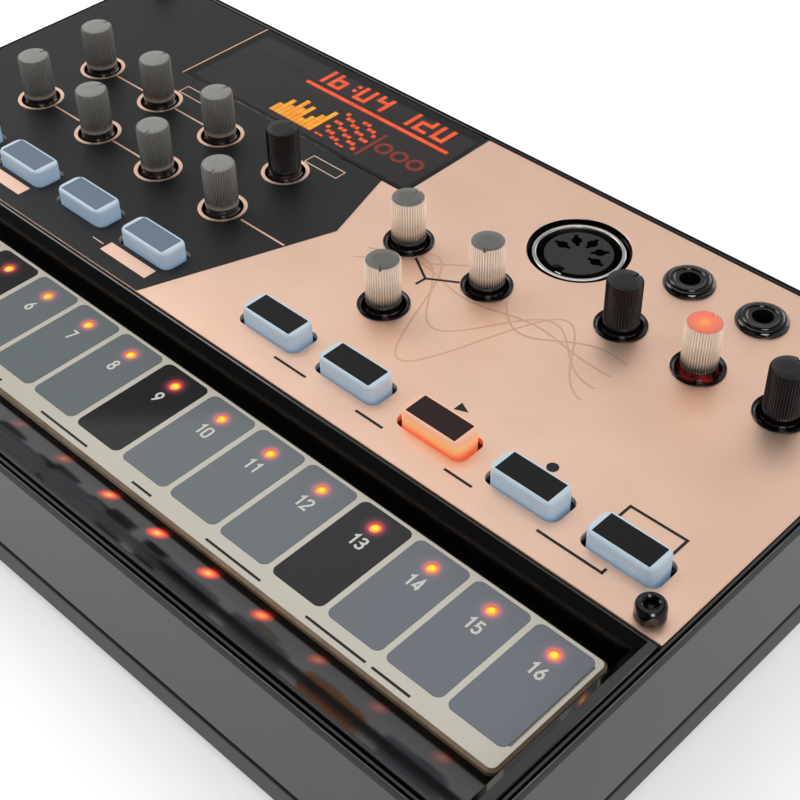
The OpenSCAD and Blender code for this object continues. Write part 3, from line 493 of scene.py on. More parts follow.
light_lens, tree, shader, where = start_finish("orange_light_lens", {
    "Base Color": colour("#7A5A3A"), "Roughness": 0.3, "Emission Strength": 1.15})
reach = add(tree, "ShaderNodeMapRange", {
    "Value": row_distance(tree, where, light_y), "From Max": lens_width / 2 * MM})
add(tree, "ShaderNodeValToRGB", {"Fac": reach}, to=shader.inputs["Emission Color"], steps=[
    (0.0, "#FFD61A"), (0.55, "#FFCC1A"), (0.7, "#FFA024"), (1.0, "#FF7A28")])
print("strip finishes:", pad_grey.name, pad_dark.name, strip_cream.name, light_lens.name)

# %% [markdown]
# ## The smoked front slope
#
# A second row of lamps stands under the slope in front of the strip, where the black plastic is
# thin. Each one shows as a soft red glow in the gloss. This glow is painted into the case finish
# as emission, from the same distance rule, kept to the slope by its height and its two ends, and
# a slow wave along x paints some glows brighter than others.

# %% Painted glows in the slope
bezel_y = centre_of("bezel_lights")[1]
glow_radius, slope_foot_z, slope_end_x = 2.3, 24.0, 88
strongest_x, wave_length = 33.5, 8 * light_pitch
tree = case_gloss.node_tree
shader = tree.nodes["Principled BSDF"]
where = add(tree, "ShaderNodeTexCoord").outputs["Object"]
# painted glow: the case's own surface shines red around each lamp of the row
reach = add(tree, "ShaderNodeMapRange", {
    "Value": row_distance(tree, where, bezel_y), "From Max": glow_radius * MM})
add(tree, "ShaderNodeValToRGB", {"Fac": reach}, to=shader.inputs["Emission Color"], steps=[
    (0.0, "#FFB040"), (0.22, "#FF6A20"), (0.45, "#B0280E"), (0.75, "#2A0806"), (1.0, "#000000")])
parts = add(tree, "ShaderNodeSeparateXYZ", {0: where}).outputs
# the wave paints some glows brighter and others dimmer
phase = add(tree, "ShaderNodeMath", {
    0: parts["X"], 1: 2 * math.pi / (wave_length * MM), 2: -2 * math.pi * strongest_x / wave_length},
    operation="MULTIPLY_ADD")
wave = add(tree, "ShaderNodeMath", {0: phase}, operation="COSINE")
level = add(tree, "ShaderNodeMapRange", {
    "Value": wave, "From Min": -0.5, "From Max": 1.0, "To Min": 0.12, "To Max": 2.0})
above = add(tree, "ShaderNodeMath", {0: parts["Z"], 1: slope_foot_z * MM}, operation="GREATER_THAN")
lit = add(tree, "ShaderNodeMath", {0: level, 1: above}, operation="MULTIPLY")
inside = add(tree, "ShaderNodeMath", {0: parts["X"]}, operation="ABSOLUTE")
inside = add(tree, "ShaderNodeMath", {0: inside, 1: slope_end_x * MM}, operation="LESS_THAN")
add(tree, "ShaderNodeMath", {0: lit, 1: inside}, to=shader.inputs["Emission Strength"],
    operation="MULTIPLY")
print("glow row at y", round(bezel_y, 2), "mm")

# %% [markdown]
# ## Shape helpers
#
# Most pieces here are stacks of outlines: a cap is a rounded rectangle that gets smaller near
# the top, a bolt head a circle that turns into a hexagon on its way down into the socket. One
# function draws the outline, one makes the levels with a rounded edge, and one joins the
# levels with faces. Everything is drawn in millimetres and scaled once at the end.

# %% Outlines


def round_rectangle(width, depth, radius, steps=6):
    """Points around a rectangle with round corners, counter-clockwise from its front right."""
    points = []
    for quarter, (sx, sy) in enumerate([(1, -1), (1, 1), (-1, 1), (-1, -1)]):
        cx, cy = sx * (width / 2 - radius), sy * (depth / 2 - radius)
        for i in range(steps + 1):
            angle = math.radians(-90 + 90 * quarter + 90 * i / steps)
            points.append((cx + radius * math.cos(angle), cy + radius * math.sin(angle)))
    return points


def circle(radius, steps=64):
    """Points around a circle at the origin."""
    return [(radius * math.cos(2 * math.pi * i / steps), radius * math.sin(2 * math.pi * i / steps))
            for i in range(steps)]


print("a cap outline has", len(round_rectangle(12.1, 5.6, 1.6)), "points")

# %% Stacks and turned shapes


def block_levels(width, depth, radius, low, high, edge, steps=4):
    """Outlines with heights for a block whose top edge is rounded."""
    levels = [(round_rectangle(width, depth, radius), low)]
    for i in range(steps + 1):
        angle = math.radians(90 * i / steps)
        inset = edge * (1 - math.cos(angle))
        rise = edge * math.sin(angle)
        levels.append((round_rectangle(width - 2 * inset, depth - 2 * inset, max(radius - inset, 0.05)),
                       high - edge + rise))
    return levels


def build_stack(shape, levels, centre=(0, 0), material=0):
    """Adds closed walls between outlines of equal length to a bmesh."""
    rings = [[shape.verts.new((x + centre[0], y + centre[1], z)) for x, y in outline]
             for outline, z in levels]
    count = len(rings[0])
    for low, high in zip(rings, rings[1:]):
        for i in range(count):
            k = (i + 1) % count
            shape.faces.new((low[i], low[k], high[k], high[i])).material_index = material
    for end in (rings[0][::-1], rings[-1]):
        shape.faces.new(end).material_index = material


def build_turned(shape, profile, centre=(0, 0), steps=64):
    """Turns a closed profile of (radius, height) around a vertical axis."""
    rings = []
    for i in range(steps):
        angle = 2 * math.pi * i / steps
        rings.append([shape.verts.new((centre[0] + r * math.cos(angle), centre[1] + r * math.sin(angle), z))
                      for r, z in profile])
    for i in range(steps):
        a, b = rings[i], rings[(i + 1) % steps]
        for j in range(len(profile)):
            k = (j + 1) % len(profile)
            shape.faces.new((a[j], b[j], b[k], a[k]))


# %% From a shape to a piece


def to_mesh(shape, name, crease=32, scale=MM):
    """Finishes a bmesh: outward faces, smooth shading with sharp creases, metres."""
    bmesh.ops.recalc_face_normals(shape, faces=shape.faces)
    if scale != 1:
        bmesh.ops.scale(shape, vec=(scale,) * 3, verts=shape.verts)
    for face in shape.faces:
        face.smooth = True
    for edge in shape.edges:
        edge.smooth = len(edge.link_faces) == 2 and edge.calc_face_angle(0) < math.radians(crease)
    mesh = bpy.data.meshes.new(name)
    shape.to_mesh(mesh)
    shape.free()
    return mesh


def place(name, mesh, body, finishes, stands_for=()):
    """Makes a mesh a piece of the model: on its body, in its finish, in place of CAD nodes."""
    piece = bpy.data.objects.new(name, mesh)
    scene.collection.objects.link(piece)
    if not mesh.materials:
        for material in finishes:
            mesh.materials.append(material)
    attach(piece, body)
    if stands_for:
        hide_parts(*stands_for)
    return piece


def evaluated_mesh(obj, name):
    """The mesh of an object with its modifiers worked in."""
    bpy.context.view_layer.update()
    depsgraph = bpy.context.evaluated_depsgraph_get()
    mesh = bpy.data.meshes.new_from_object(obj.evaluated_get(depsgraph))
    mesh.name = name
    return mesh


# %% [markdown]
# ## Softened copies of the moulded pieces
#
# No moulded edge is perfectly sharp, and on black gloss the small radius is almost all that one
# sees. The construction solids already have the right walls, holes and bosses, so a copy of
# each one is merged into clean faces, the edges to be softened get a bevel weight, and a Bevel
# modifier rounds just those. Normals weighted by area keep the flats flat.

# %% Softening


def softened(node, pick, width, segments=3):
    """A merged copy of a node with the picked sharp edges rounded. pick gets an edge's
    ends in millimetres and says how strongly it is rounded, from 0 to 1."""
    shape = bmesh.new()
    shape.from_mesh(nodes[node].data)
    bmesh.ops.remove_doubles(shape, verts=shape.verts, dist=0.002 * MM)
    bmesh.ops.dissolve_limit(shape, angle_limit=math.radians(0.6), verts=shape.verts, edges=shape.edges)
    weight = shape.edges.layers.float.new("bevel_weight_edge")
    picked = 0
    for edge in shape.edges:
        if len(edge.link_faces) == 2 and edge.calc_face_angle(0) > math.radians(24):
            share = pick(edge.verts[0].co / MM, edge.verts[1].co / MM)
            edge[weight] = share
            picked += share > 0
    carrier = bpy.data.objects.new(node + "_carrier", to_mesh(shape, node + "_carrier", 32, 1))
    scene.collection.objects.link(carrier)
    bevel = carrier.modifiers.new("soft_edges", "BEVEL")
    bevel.limit_method = "WEIGHT"
    bevel.width = width * MM
    bevel.segments = segments
    bevel.use_clamp_overlap = False
    bevel.loop_slide = False
    normals = carrier.modifiers.new("even_normals", "WEIGHTED_NORMAL")
    normals.keep_sharp = True
    mesh = evaluated_mesh(carrier, node + "_softened")
    bpy.data.objects.remove(carrier)
    print(node, "softened edges:", picked, "faces:", len(mesh.polygons))
    return mesh


# %% The two shells of the case


def both_at(a, b, z, slack=0.02):
    """Whether both ends of an edge lie at one height."""
    return abs(a.z - z) < slack and abs(b.z - z) < slack


def on_outline(point, margin=0.05):
    """Whether a point lies on the outside of the case, or within a margin of it."""
    x, y = abs(point.x), abs(point.y)
    corner = 3.0
    dx, dy = x - (case_high.x - corner), y - (case_high.y - corner)
    if dx > 0 and dy > 0:
        return abs(math.hypot(dx, dy) - corner) < margin
    return abs(x - case_high.x) < margin or abs(y - case_high.y) < margin


rim_z, part_z = case_high.z, 8.1
slope_low_z, tray_ledge_z, tray_back_y = rim_z - 1.4, rim_z - 1.5, -19.0


def top_case_edges(a, b):
    """The crest beside the outer slope, the grooves, the tray's bevel and the parting line."""
    if both_at(a, b, rim_z):
        return 0.25 if on_outline(a, 0.9) and on_outline(b, 0.9) else 0.5
    if both_at(a, b, part_z) and on_outline(a):
        return 0.8
    if both_at(a, b, tray_ledge_z) and max(a.y, b.y) < tray_back_y:
        return 0.5
    return 0.0


shell_mesh = softened("top_case", top_case_edges, 0.3)
# the faces of the outer slope get the unpolished finish, and those along the crest the painted highlight
for face in shell_mesh.polygons:
    middle = face.center / MM
    sloping = slope_low_z - 0.05 < middle.z < rim_z - 0.1 and 0.05 < face.normal.z < 0.5
    if sloping and on_outline(middle, 0.3):
        face.material_index = 1
    elif middle.z > rim_z - 0.12 and on_outline(middle, 0.42):
        face.material_index = 2
place("top_case_shell", shell_mesh, "chassis", [case_gloss, case_edge, crest_highlight_paint],
      ["top_case"])
counts = [sum(face.material_index == i for face in shell_mesh.polygons) for i in (1, 2)]
print("faces on the slope and the crest:", counts)

case_foot_z = span_of("lower_case")[0].z


def lower_case_edges(a, b):
    """The edges around the foot and the shadow gap."""
    at_gap = both_at(a, b, part_z - 1.0) and on_outline(a)
    at_foot = both_at(a, b, case_foot_z) and on_outline(a) and on_outline(b)
    return 1.0 if at_foot else 0.4 if at_gap else 0.0


place("lower_case_shell", softened("lower_case", lower_case_edges, 0.6), "chassis",
      [case_textured], ["lower_case"])

# %% [markdown]
# ## The panel and its print
#
# The sheet is punched, so its edges have only a hairline radius. The dark field is one solid
# film of ink with everything else left out of it: the rings around the knobs, the lines and the
# boxes are bare metal. A flat curve with inner loops fills itself around the holes, which is
# exactly how such a film is drawn, and a tiny extrusion gives the ink its thickness. Words are
# left off; plain lines, boxes, a triangle and a dot remain.

# %% Panel sheet
window_low, window_high = span_of("display_window")


def panel_edges(a, b):
    """The edges of a sheet's upper face."""
    return 1.0 if both_at(a, b, panel_z) else 0.0


place("panel_sheet", softened("panel_plate", panel_edges, 0.12, 2), "chassis",
      [panel_metal], ["panel_plate"])

# %% Printing helper


def printed(loops, height, low_z):
    """A film of ink: a flat curve of closed loops, filled between them, as a mesh."""
    curve = bpy.data.curves.new("ink", "CURVE")
    curve.dimensions = "2D"
    curve.fill_mode = "BOTH"
    curve.extrude = height / 2 * MM
    for loop in loops:
        spline = curve.splines.new("POLY")
        spline.points.add(len(loop) - 1)
        for point, (x, y) in zip(spline.points, loop):
            point.co = (x * MM, y * MM, 0, 1)
        spline.use_cyclic_u = True
    carrier = bpy.data.objects.new("ink", curve)
    scene.collection.objects.link(carrier)
    mesh = evaluated_mesh(carrier, "ink")
    bpy.data.objects.remove(carrier)
    mesh.transform(Matrix.Translation((0, 0, (low_z + height / 2) * MM)))
    return mesh


def stroke(points, width):
    """The outline of a line of even width through the points, with flat ends."""
    left, right = [], []
    for i, point in enumerate(points):
        here = Vector(point)
        before = Vector(points[max(i - 1, 0)])
        after = Vector(points[min(i + 1, len(points) - 1)])
        into, out = here - before, after - here
        into = into.normalized() if into.length else out.normalized()
        out = out.normalized() if out.length else into
        mitre = (into + out).normalized()
        across = Vector((-mitre.y, mitre.x)) * width / 2 / max(mitre.dot(out), 0.3)
        left.append(tuple(here + across))
        right.append(tuple(here - across))
    return left + right[::-1]


def ribbon(shape, points, width, low_z, high_z, climb=0.0):
    """A thin bar along a line of points. It may climb a little, to lie over itself at a crossing."""
    outline = stroke(points, width)
    rows = []
    for i in range(len(points)):
        left, right, top_z = outline[i], outline[-1 - i], high_z + climb * i
        rows.append([shape.verts.new((x, y, z)) for (x, y), z in (
            (left, low_z), (left, top_z), (right, top_z), (right, low_z))])
    for row, following in zip(rows, rows[1:]):
        for i in range(4):
            shape.faces.new((row[i], following[i], following[(i + 1) % 4], row[(i + 1) % 4]))
    shape.faces.new(rows[0])
    shape.faces.new(list(reversed(rows[-1])))


def shifted(loop, centre):
    """A loop drawn around the origin, moved to its centre."""
    return [(x + centre[0], y + centre[1]) for x, y in loop]


def join_meshes(name, meshes):
    """One mesh from several."""
    shape = bmesh.new()
    for mesh in meshes:
        shape.from_mesh(mesh)
    result = bpy.data.meshes.new(name)
    shape.to_mesh(result)
    shape.free()
    return result


# %% Which control stands where
clear_knobs = ["level_knob", "pitch_knob", "attack_knob", "amount_knob", "release_knob", "rate_knob",
               "send_knob", "decay_knob", "tune_knob", "body_knob"]
dark_knobs = ["swing_knob", "volume_knob", "select_encoder"]
dark_field_knobs = clear_knobs[:7] + ["select_encoder"]
gold_field_knobs = clear_knobs[7:] + ["swing_knob", "tempo_knob", "volume_knob"]
caps = ["part_button", "edit_button", "active_button", "layer_button", "jump_button", "mute_button",
        "play_button", "record_button", "function_button"]
knob_hole_radius = 3.7
ring_radius = 4.45
print("knobs on the dark field:", len(dark_field_knobs), "- on the bare metal:", len(gold_field_knobs))

# %% The dark field
ink_height = 0.045
edge_in, window_gap = 0.12, 0.25
left_x, back_y, front_y = panel_low.x + edge_in, panel_high.y - edge_in, panel_low.y + edge_in
window_x, window_y = window_low.x - window_gap, window_low.y - window_gap
field = [(left_x, front_y), (-13.15, front_y), (-0.66, 16.52), (-5.3, 31.4), (-5.6, window_y),
         (window_x, window_y), (window_x, back_y), (left_x, back_y)]
cap_hole, bolt_hole = round_rectangle(13.64, 6.24, 1.6), circle(1.6)
loops = [field]
loops += [shifted(circle(ring_radius), centre_of(knob)) for knob in dark_field_knobs]
loops += [shifted(cap_hole, centre_of(cap)) for cap in caps[:4]]
loops += [shifted(bolt_hole, spot) for spot in ((-91.05, -15.1), (-91.05, 52.5))]
hairline, line = 0.25, 0.45
row_front, row_back = centre_of("send_knob")[1], centre_of("rate_knob")[1]
columns = [centre_of(knob)[0] for knob in ("send_knob", "release_knob", "attack_knob", "level_knob")]
for row in (row_front, row_back):
    for right, left in zip(columns[1:], columns[2:]):
        loops.append(stroke([(right - ring_radius - 0.05, row), (left + ring_radius + 0.05, row)], line))
loops.append(stroke([(columns[0] + 5.2, row_front - 0.3), (-4.3, row_front - 0.3)], line))
# a bare bar and a short line in front of each pair of caps, and a framed bar behind the knobs
caps_line_y = -13.4
for x in (-31.0, -66.5):
    loops.append([(x + 4.2, -14.7), (x + 16.2, -14.7), (x + 16.2, -12.1), (x + 4.2, -12.1)])
    loops.append(stroke([(x + 0.6, caps_line_y), (x + 3.6, caps_line_y)], hairline))
for x in (-20.5, -56.1):
    loops.append([(x, 27.4), (x + 8.4, 27.4), (x + 8.4, 30.1), (x, 30.1)])
    loops.append([(x + 0.3, 27.7), (x + 8.1, 27.7), (x + 8.1, 29.8), (x + 0.3, 29.8)])
dark_field = printed(loops, ink_height, panel_z)
print("loops in the dark field:", len(loops))

# %% Marks on the bare metal
loops = []
# lines in front of the caps, brackets, and the two signs behind the play and record caps
for start, end in ((15.9, 23.05), (34.1, 39.8), (52.4, 57.8)):
    loops.append(stroke([(start, caps_line_y), (end, caps_line_y)], line))
loops.append(stroke([(70.0, caps_line_y), (81.6, caps_line_y), (81.6, -12.4)], line))
loops.append(stroke([(76.7, -4.4), (76.75, -0.8), (86.56, -0.65), (86.56, -4.2)], line))
loops.append(stroke([(14.63, 20.28), (19.66, 17.3), (24.58, 20.42)], line))
loops.append(stroke([(19.66, 17.15), (19.51, 15.16)], line))
loops.append([(44.75, -3.0), (46.9, -2.05), (44.75, -1.1)])
loops.append(shifted(circle(0.95, 32), (63.7, -2.35)))
marks = join_meshes("marks", [printed([loop], ink_height, panel_z) for loop in loops])
place("panel_print", join_meshes("panel_print", [dark_field, marks]), "chassis", [panel_ink])
print("printed shapes on the bare metal:", len(loops))

# %% [markdown]
# Faint lines decorate the bare metal. They are a bundle of waves that swell and die away, like
# the sound of a struck drum. Each line is walked in short steps, and the steps over a hole or
# over the dark field are left out.

# %% Faint waves on the metal
# centre, reach and half of the straight length of what the waves leave out
ring_reach, socket_reach, cap_reach = ring_radius + 0.3, 9.4, 3.8
holes = [(*centre_of(knob), ring_reach, 0.0) for knob in gold_field_knobs]
holes += [(*centre_of("din_shell"), socket_reach, 0.0)]
holes += [(*centre_of(cap), cap_reach, cap_reach) for cap in caps[4:]]
wave_start, wave_end, wave_step = -6.0, 72.0, 0.5


def on_bare_metal(x, y):
    """Whether a point is on bare metal and away from every hole and from the dark field."""
    (x0, y0), (x1, y1), (x2, y2) = field[1:4]
    edge = x0 + (y - y0) * (x1 - x0) / (y1 - y0) if y < y1 else x1 + (y - y1) * (x2 - x1) / (y2 - y1)
    clear = all(math.hypot(max(abs(x - hx) - half, 0), y - hy) > reach for hx, hy, reach, half in holes)
    return clear and x > edge + 0.6 and y < window_low.y - 1


swell_x, swell_width, wave_height, wave_length = 32, 21, 15, 30
runs = []
for k in range(4):
    run = []
    x = wave_start
    while x < wave_end:
        swell = math.exp(-((x - swell_x) / swell_width) ** 2)
        phase = 2 * math.pi * (x - 8) / wave_length + 0.3 * k
        y = 14.5 + (wave_height * swell * (1 - 0.45 * k) * math.sin(phase)) + 2.4 * k
        if swell > 0.22 and on_bare_metal(x, y):
            run.append((x, y))
        else:
            runs.append((k, run))
            run = []
        x += wave_step
    runs.append((k, run))
waves = bmesh.new()
for k, run in runs:
    if len(run) > 3:
        # each wave has its own height, so that one lies over the other where they cross
        ribbon(waves, run, 0.34, panel_z, panel_z + 0.01 + 0.005 * k)
place("panel_waves", to_mesh(waves, "panel_waves"), "chassis", [panel_tone])
print("pieces of wave:", sum(len(run) > 3 for k, run in runs))

# %% Eyelets that line the knob holes
eyelet_black = finish("black_eyelet", {
    "Base Color": colour("#060607"), "Roughness": 0.2, "IOR": 1.38}, dict(size=2, depth=0.004))
wall_radius, wall, panel_under = knob_hole_radius - 0.02, 0.12, -0.95
# profiles of radius and height over the panel face
lining = [(wall_radius, panel_under), (wall_radius - wall, panel_under), (wall_radius - wall, -0.25)]
dish = lining + [(3.6, -0.1), (3.66, 0.02), (3.8, 0.14), (4.0, 0.24), (4.2, 0.3), (4.32, 0.31),
                 (4.42, 0.24), (ring_radius, 0.01), (wall_radius, 0.01)]
flush = lining + [(wall_radius - 0.05, 0.0), (wall_radius, 0.0)]
socket_lining = [(8.98, panel_under), (8.9, panel_under), (8.9, -0.1), (8.98, -0.02)]
eyelets = bmesh.new()
for profile, names, steps in (
        (dish, gold_field_knobs, 72), (flush, dark_field_knobs, 72), (socket_lining, ["din_shell"], 120)):
    for name in names:
        build_turned(eyelets, [(radius, panel_z + z) for radius, z in profile], centre_of(name), steps)
place("knob_eyelets", to_mesh(eyelets, "knob_eyelets"), "chassis", [eyelet_black])
print("eyelets:", len(gold_field_knobs + dark_field_knobs) + 1)

# %% [markdown]
# ## Knobs
#
# A knob is a slim cylinder with about forty fine ribs, a small chamfer at the top and a notch
# that shows where it points. The ribs follow one rule: the radius rises and falls with the
# angle. Geometry Nodes write the rule once. The carrier is a plain stack of circles with an
# attribute that says how strongly each level is ribbed, and the tree pulls every point in along
# its own radius. It also notes on each point how deep it lies in a valley between two ribs,
# which the plastics read to grow dark there. The same tree serves all fourteen knobs.

# %% The ribbing tree


def new_tree(name, inputs):
    """A tree that takes a geometry and the named inputs, and gives one geometry back."""
    tree = bpy.data.node_groups.new(name, "GeometryNodeTree")
    for socket, kind in {"Geometry": "Geometry", **inputs}.items():
        tree.interface.new_socket(socket, in_out="INPUT", socket_type="NodeSocket" + kind)
    tree.interface.new_socket("Geometry", in_out="OUTPUT", socket_type="NodeSocketGeometry")
    return tree, add(tree, "NodeGroupInput").outputs


ribbing, given = new_tree("ribbing", {
    "Rib Count": "Float", "Rib Depth": "Float", "Centre": "Vector", "Body Finish": "Material",
    "Top Finish": "Material", "Foot Finish": "Material"})
here = add(ribbing, "GeometryNodeInputPosition")
spot = add(ribbing, "ShaderNodeVectorMath", {0: here, 1: given["Centre"]}, operation="SUBTRACT")
parts = add(ribbing, "ShaderNodeSeparateXYZ", {0: spot}).outputs
angle = add(ribbing, "ShaderNodeMath", {0: parts["Y"], 1: parts["X"]}, operation="ARCTAN2")
turned = add(ribbing, "ShaderNodeMath", {0: angle, 1: given["Rib Count"]}, operation="MULTIPLY")
swing = add(ribbing, "ShaderNodeMath", {0: turned}, operation="COSINE")
fall = add(ribbing, "ShaderNodeMath", {0: swing, 1: 0.5, 2: -0.5}, operation="MULTIPLY_ADD")
ribbed = add(ribbing, "GeometryNodeInputNamedAttribute", {"Name": "ribbed"}, data_type="FLOAT")
depth = add(ribbing, "ShaderNodeMath", {0: fall, 1: given["Rib Depth"]}, operation="MULTIPLY")
depth = add(ribbing, "ShaderNodeMath", {0: depth, 1: ribbed}, operation="MULTIPLY")
outwards = add(ribbing, "ShaderNodeCombineXYZ", {"X": parts["X"], "Y": parts["Y"]})
outwards = add(ribbing, "ShaderNodeVectorMath", {0: outwards}, operation="NORMALIZE")
push = add(ribbing, "ShaderNodeVectorMath", {0: outwards, "Scale": depth}, operation="SCALE")
sunk = add(ribbing, "ShaderNodeMath", {0: fall, 1: -1.0}, operation="MULTIPLY")
valley = add(ribbing, "ShaderNodeMath", {0: sunk, 1: ribbed}, operation="MULTIPLY")
noted = add(ribbing, "GeometryNodeStoreNamedAttribute", {
    "Geometry": given["Geometry"], "Name": "valley", "Value": valley}, data_type="FLOAT", domain="POINT")
moved = add(ribbing, "GeometryNodeSetPosition", {"Geometry": noted, "Offset": push})
real = add(ribbing, "GeometryNodeRealizeInstances", {"Geometry": moved})
dressed = add(ribbing, "GeometryNodeSetMaterial", {"Geometry": real, "Material": given["Body Finish"]})
zone = add(ribbing, "GeometryNodeInputNamedAttribute", {"Name": "zone"}, data_type="FLOAT")
for side, limit, material in (("GREATER_THAN", 0.5, "Top Finish"), ("LESS_THAN", -0.5, "Foot Finish")):
    chosen = add(ribbing, "FunctionNodeCompare", {"A": zone, "B": limit}, operation=side)
    dressed = add(ribbing, "GeometryNodeSetMaterial", {
        "Geometry": dressed, "Selection": chosen, "Material": given[material]})
add(ribbing, "NodeGroupOutput", {0: dressed})


def run_tree(carrier, tree, inputs, name):
    """Runs a tree on an object, with inputs by their names, and gives back a plain mesh."""
    modifier = carrier.modifiers.new(tree.name, "NODES")
    modifier.node_group = tree
    for socket in tree.interface.items_tree:
        if socket.in_out == "INPUT" and socket.name in inputs:
            modifier[socket.identifier] = inputs[socket.name]
    mesh = evaluated_mesh(carrier, name)
    bpy.data.objects.remove(carrier)
    return mesh


print("ribbing tree nodes:", len(ribbing.nodes))

# %% Make the knobs
rib_count, rib_depth, points_per_rib = 40, 0.32, 6
spindle_radius, collar_radius, flare_radius = 1.5, 2.5, 3.32
knob_foot_z, flare_low_z, ribbed_from_z = 27.3, 28.8, 31.35
pointer_turns = {"swing_knob": 16, "tune_knob": 144, "body_knob": 150, "send_knob": 150, "release_knob": 150}
notch_depth, notch_half_width = 0.4, 0.24


def make_knob(node, body_finish, top_finish, foot_finish):
    """A ribbed knob with its spindle, pointing where its notch is."""
    cx, cy = centre_of(node)
    turn = math.radians(90 - pointer_turns.get(node, 0))
    # radius, height, how strongly ribbed; the foot flares out like a trumpet
    spindle = [(spindle_radius, span_of(node)[0].z, 0), (spindle_radius, knob_foot_z, 0),
               (collar_radius, knob_foot_z, 0), (collar_radius, flare_low_z, 0)]
    flare = [(flare_radius, flare_low_z, 0), (flare_radius, 29.6, 0), (3.27, 29.72, 0), (3.2, 29.82, 0),
             (3.11, 29.95, 0), (3.05, 30.12, 0), (3.01, 30.4, 0), (knob_radius, 30.85, 0)]
    body = [(knob_radius, 31.25, 0), (knob_radius, ribbed_from_z, 1), (knob_radius, 38.66, 1),
            (knob_radius - 0.06, 38.84, 1), (knob_radius - 0.14, 38.96, 0.7)]
    top = [(knob_radius - 0.24, knob_top_z, 0.3), (1.4, knob_top_z, 0), (1.2, knob_top_z, 0)]
    levels = spindle + flare + body + top
    foot_levels, top_levels = len(spindle + flare) - 1, len(spindle + flare + body) - 1
    columns = rib_count * points_per_rib
    shape = bmesh.new()
    ribbed = shape.verts.layers.float.new("ribbed")
    zone = shape.faces.layers.float.new("zone")
    rings = []
    for radius, z, strength in levels:
        ring = []
        for x, y in circle(radius, columns):
            # the notch: points near the pointer's line sink on the way out to the rim
            across = abs(-x * math.sin(turn) + y * math.cos(turn))
            ahead = x * math.cos(turn) + y * math.sin(turn)
            notch = z > 38.8 and radius > 1.4 and ahead > 0 and across < notch_half_width
            vert = shape.verts.new((x + cx, y + cy, z - (notch_depth if notch else 0)))
            vert[ribbed] = strength
            ring.append(vert)
        rings.append(ring)
    for level, (low, high) in enumerate(zip(rings, rings[1:])):
        for i in range(columns):
            k = (i + 1) % columns
            face = shape.faces.new((low[i], low[k], high[k], high[i]))
            face[zone] = 1.0 if level >= top_levels else -1.0 if level < foot_levels else 0.0
    shape.faces.new(list(reversed(rings[0])))[zone] = -1.0
    shape.faces.new(rings[-1])[zone] = 1.0
    carrier = bpy.data.objects.new("knob_carrier", to_mesh(shape, "knob_carrier", 24))
    scene.collection.objects.link(carrier)
    finishes = [body_finish, top_finish, foot_finish]
    mesh = run_tree(carrier, ribbing, {
        "Rib Count": float(rib_count), "Rib Depth": rib_depth * MM, "Centre": (cx * MM, cy * MM, 0.0),
        **dict(zip(("Body Finish", "Top Finish", "Foot Finish"), finishes))}, node + "_ribbed")
    return place(node + "_body", mesh, node, finishes, [node])


for knob in clear_knobs:
    on_dark = knob in dark_field_knobs
    make_knob(knob, knob_clear_painted_dark_field if on_dark else knob_clear, knob_top_painted_lighter if on_dark else knob_top, knob_foot)
for knob in dark_knobs:
    make_knob(knob, knob_black, black_top, knob_foot)
made = make_knob("tempo_knob", knob_clear, lit_top, foot_lit)
print("faces in one knob:", len(made.data.polygons))

# %% [markdown]
# ## Button caps
#
# Each cap is a small block with round corners and a soft top edge. It sits on a black flange
# that keeps it in the panel and a stem that presses the switch. The printed plate on top is a
# separate thin film with sharp corners.

# %% Make the caps
cap_low, cap_high = span_of("jump_button")
cap_size, cap_radius, cap_edge = (12.1, 5.6), 1.6, 0.55
flange_size = (cap_high.x - cap_low.x, cap_high.y - cap_low.y)
flange_low_z, flange_high_z = 25.9, 26.8
label_size, label_height = (9.95, 4.4), 0.04
stem = circle(1.5, 28)


def make_cap(node, cap_plastic, label_plastic):
    """A cap with its label (material 1), its flange and its stem (material 2)."""
    centre = centre_of(node)
    shape = bmesh.new()
    build_stack(shape, block_levels(*cap_size, cap_radius, flange_high_z, cap_high.z, cap_edge), centre)
    build_stack(shape, block_levels(*flange_size, cap_radius, flange_low_z, flange_high_z + 0.01, 0.1, 1),
                centre, 2)
    build_stack(shape, [(stem, cap_low.z), (stem, flange_low_z + 0.1)], centre, 2)
    build_stack(shape, block_levels(*label_size, 0.12, cap_high.z - 0.02, cap_high.z + label_height, 0.02, 1),
                centre, 1)
    return place(node + "_cap", to_mesh(shape, node + "_cap"), node,
                 [cap_plastic, label_plastic, eyelet_black], [node])


for i, cap in enumerate(caps):
    lit_one = cap == "play_button"
    make_cap(cap, cap_lit if lit_one else cap_milky,
             label_lit if lit_one else label_slate if i < 4 else label_dark)
print("caps:", len(caps))

# %% [markdown]
# ## The touch strip
#
# The strip lies sunk in its tray. Its top edge is bevelled and the bevel shows tan, because
# there the eye looks through the edge of the printed sheet. The pads are inlays of equal size
# at an even pitch, so Geometry Nodes set one pad on a row of points. Every fourth pad is
# charcoal, to mark the beat.

# %% The repeating tree
standing, given = new_tree("stand_at_points", {"Piece": "Object", "Finish": "Material"})
copied = add(standing, "GeometryNodeObjectInfo", {"Object": given["Piece"]})
copies = add(standing, "GeometryNodeInstanceOnPoints", {
    "Points": given["Geometry"], "Instance": copied.outputs["Geometry"]})
real = add(standing, "GeometryNodeRealizeInstances", {"Geometry": copies})
dressed = add(standing, "GeometryNodeSetMaterial", {"Geometry": real, "Material": given["Finish"]})
add(standing, "NodeGroupOutput", {0: dressed})


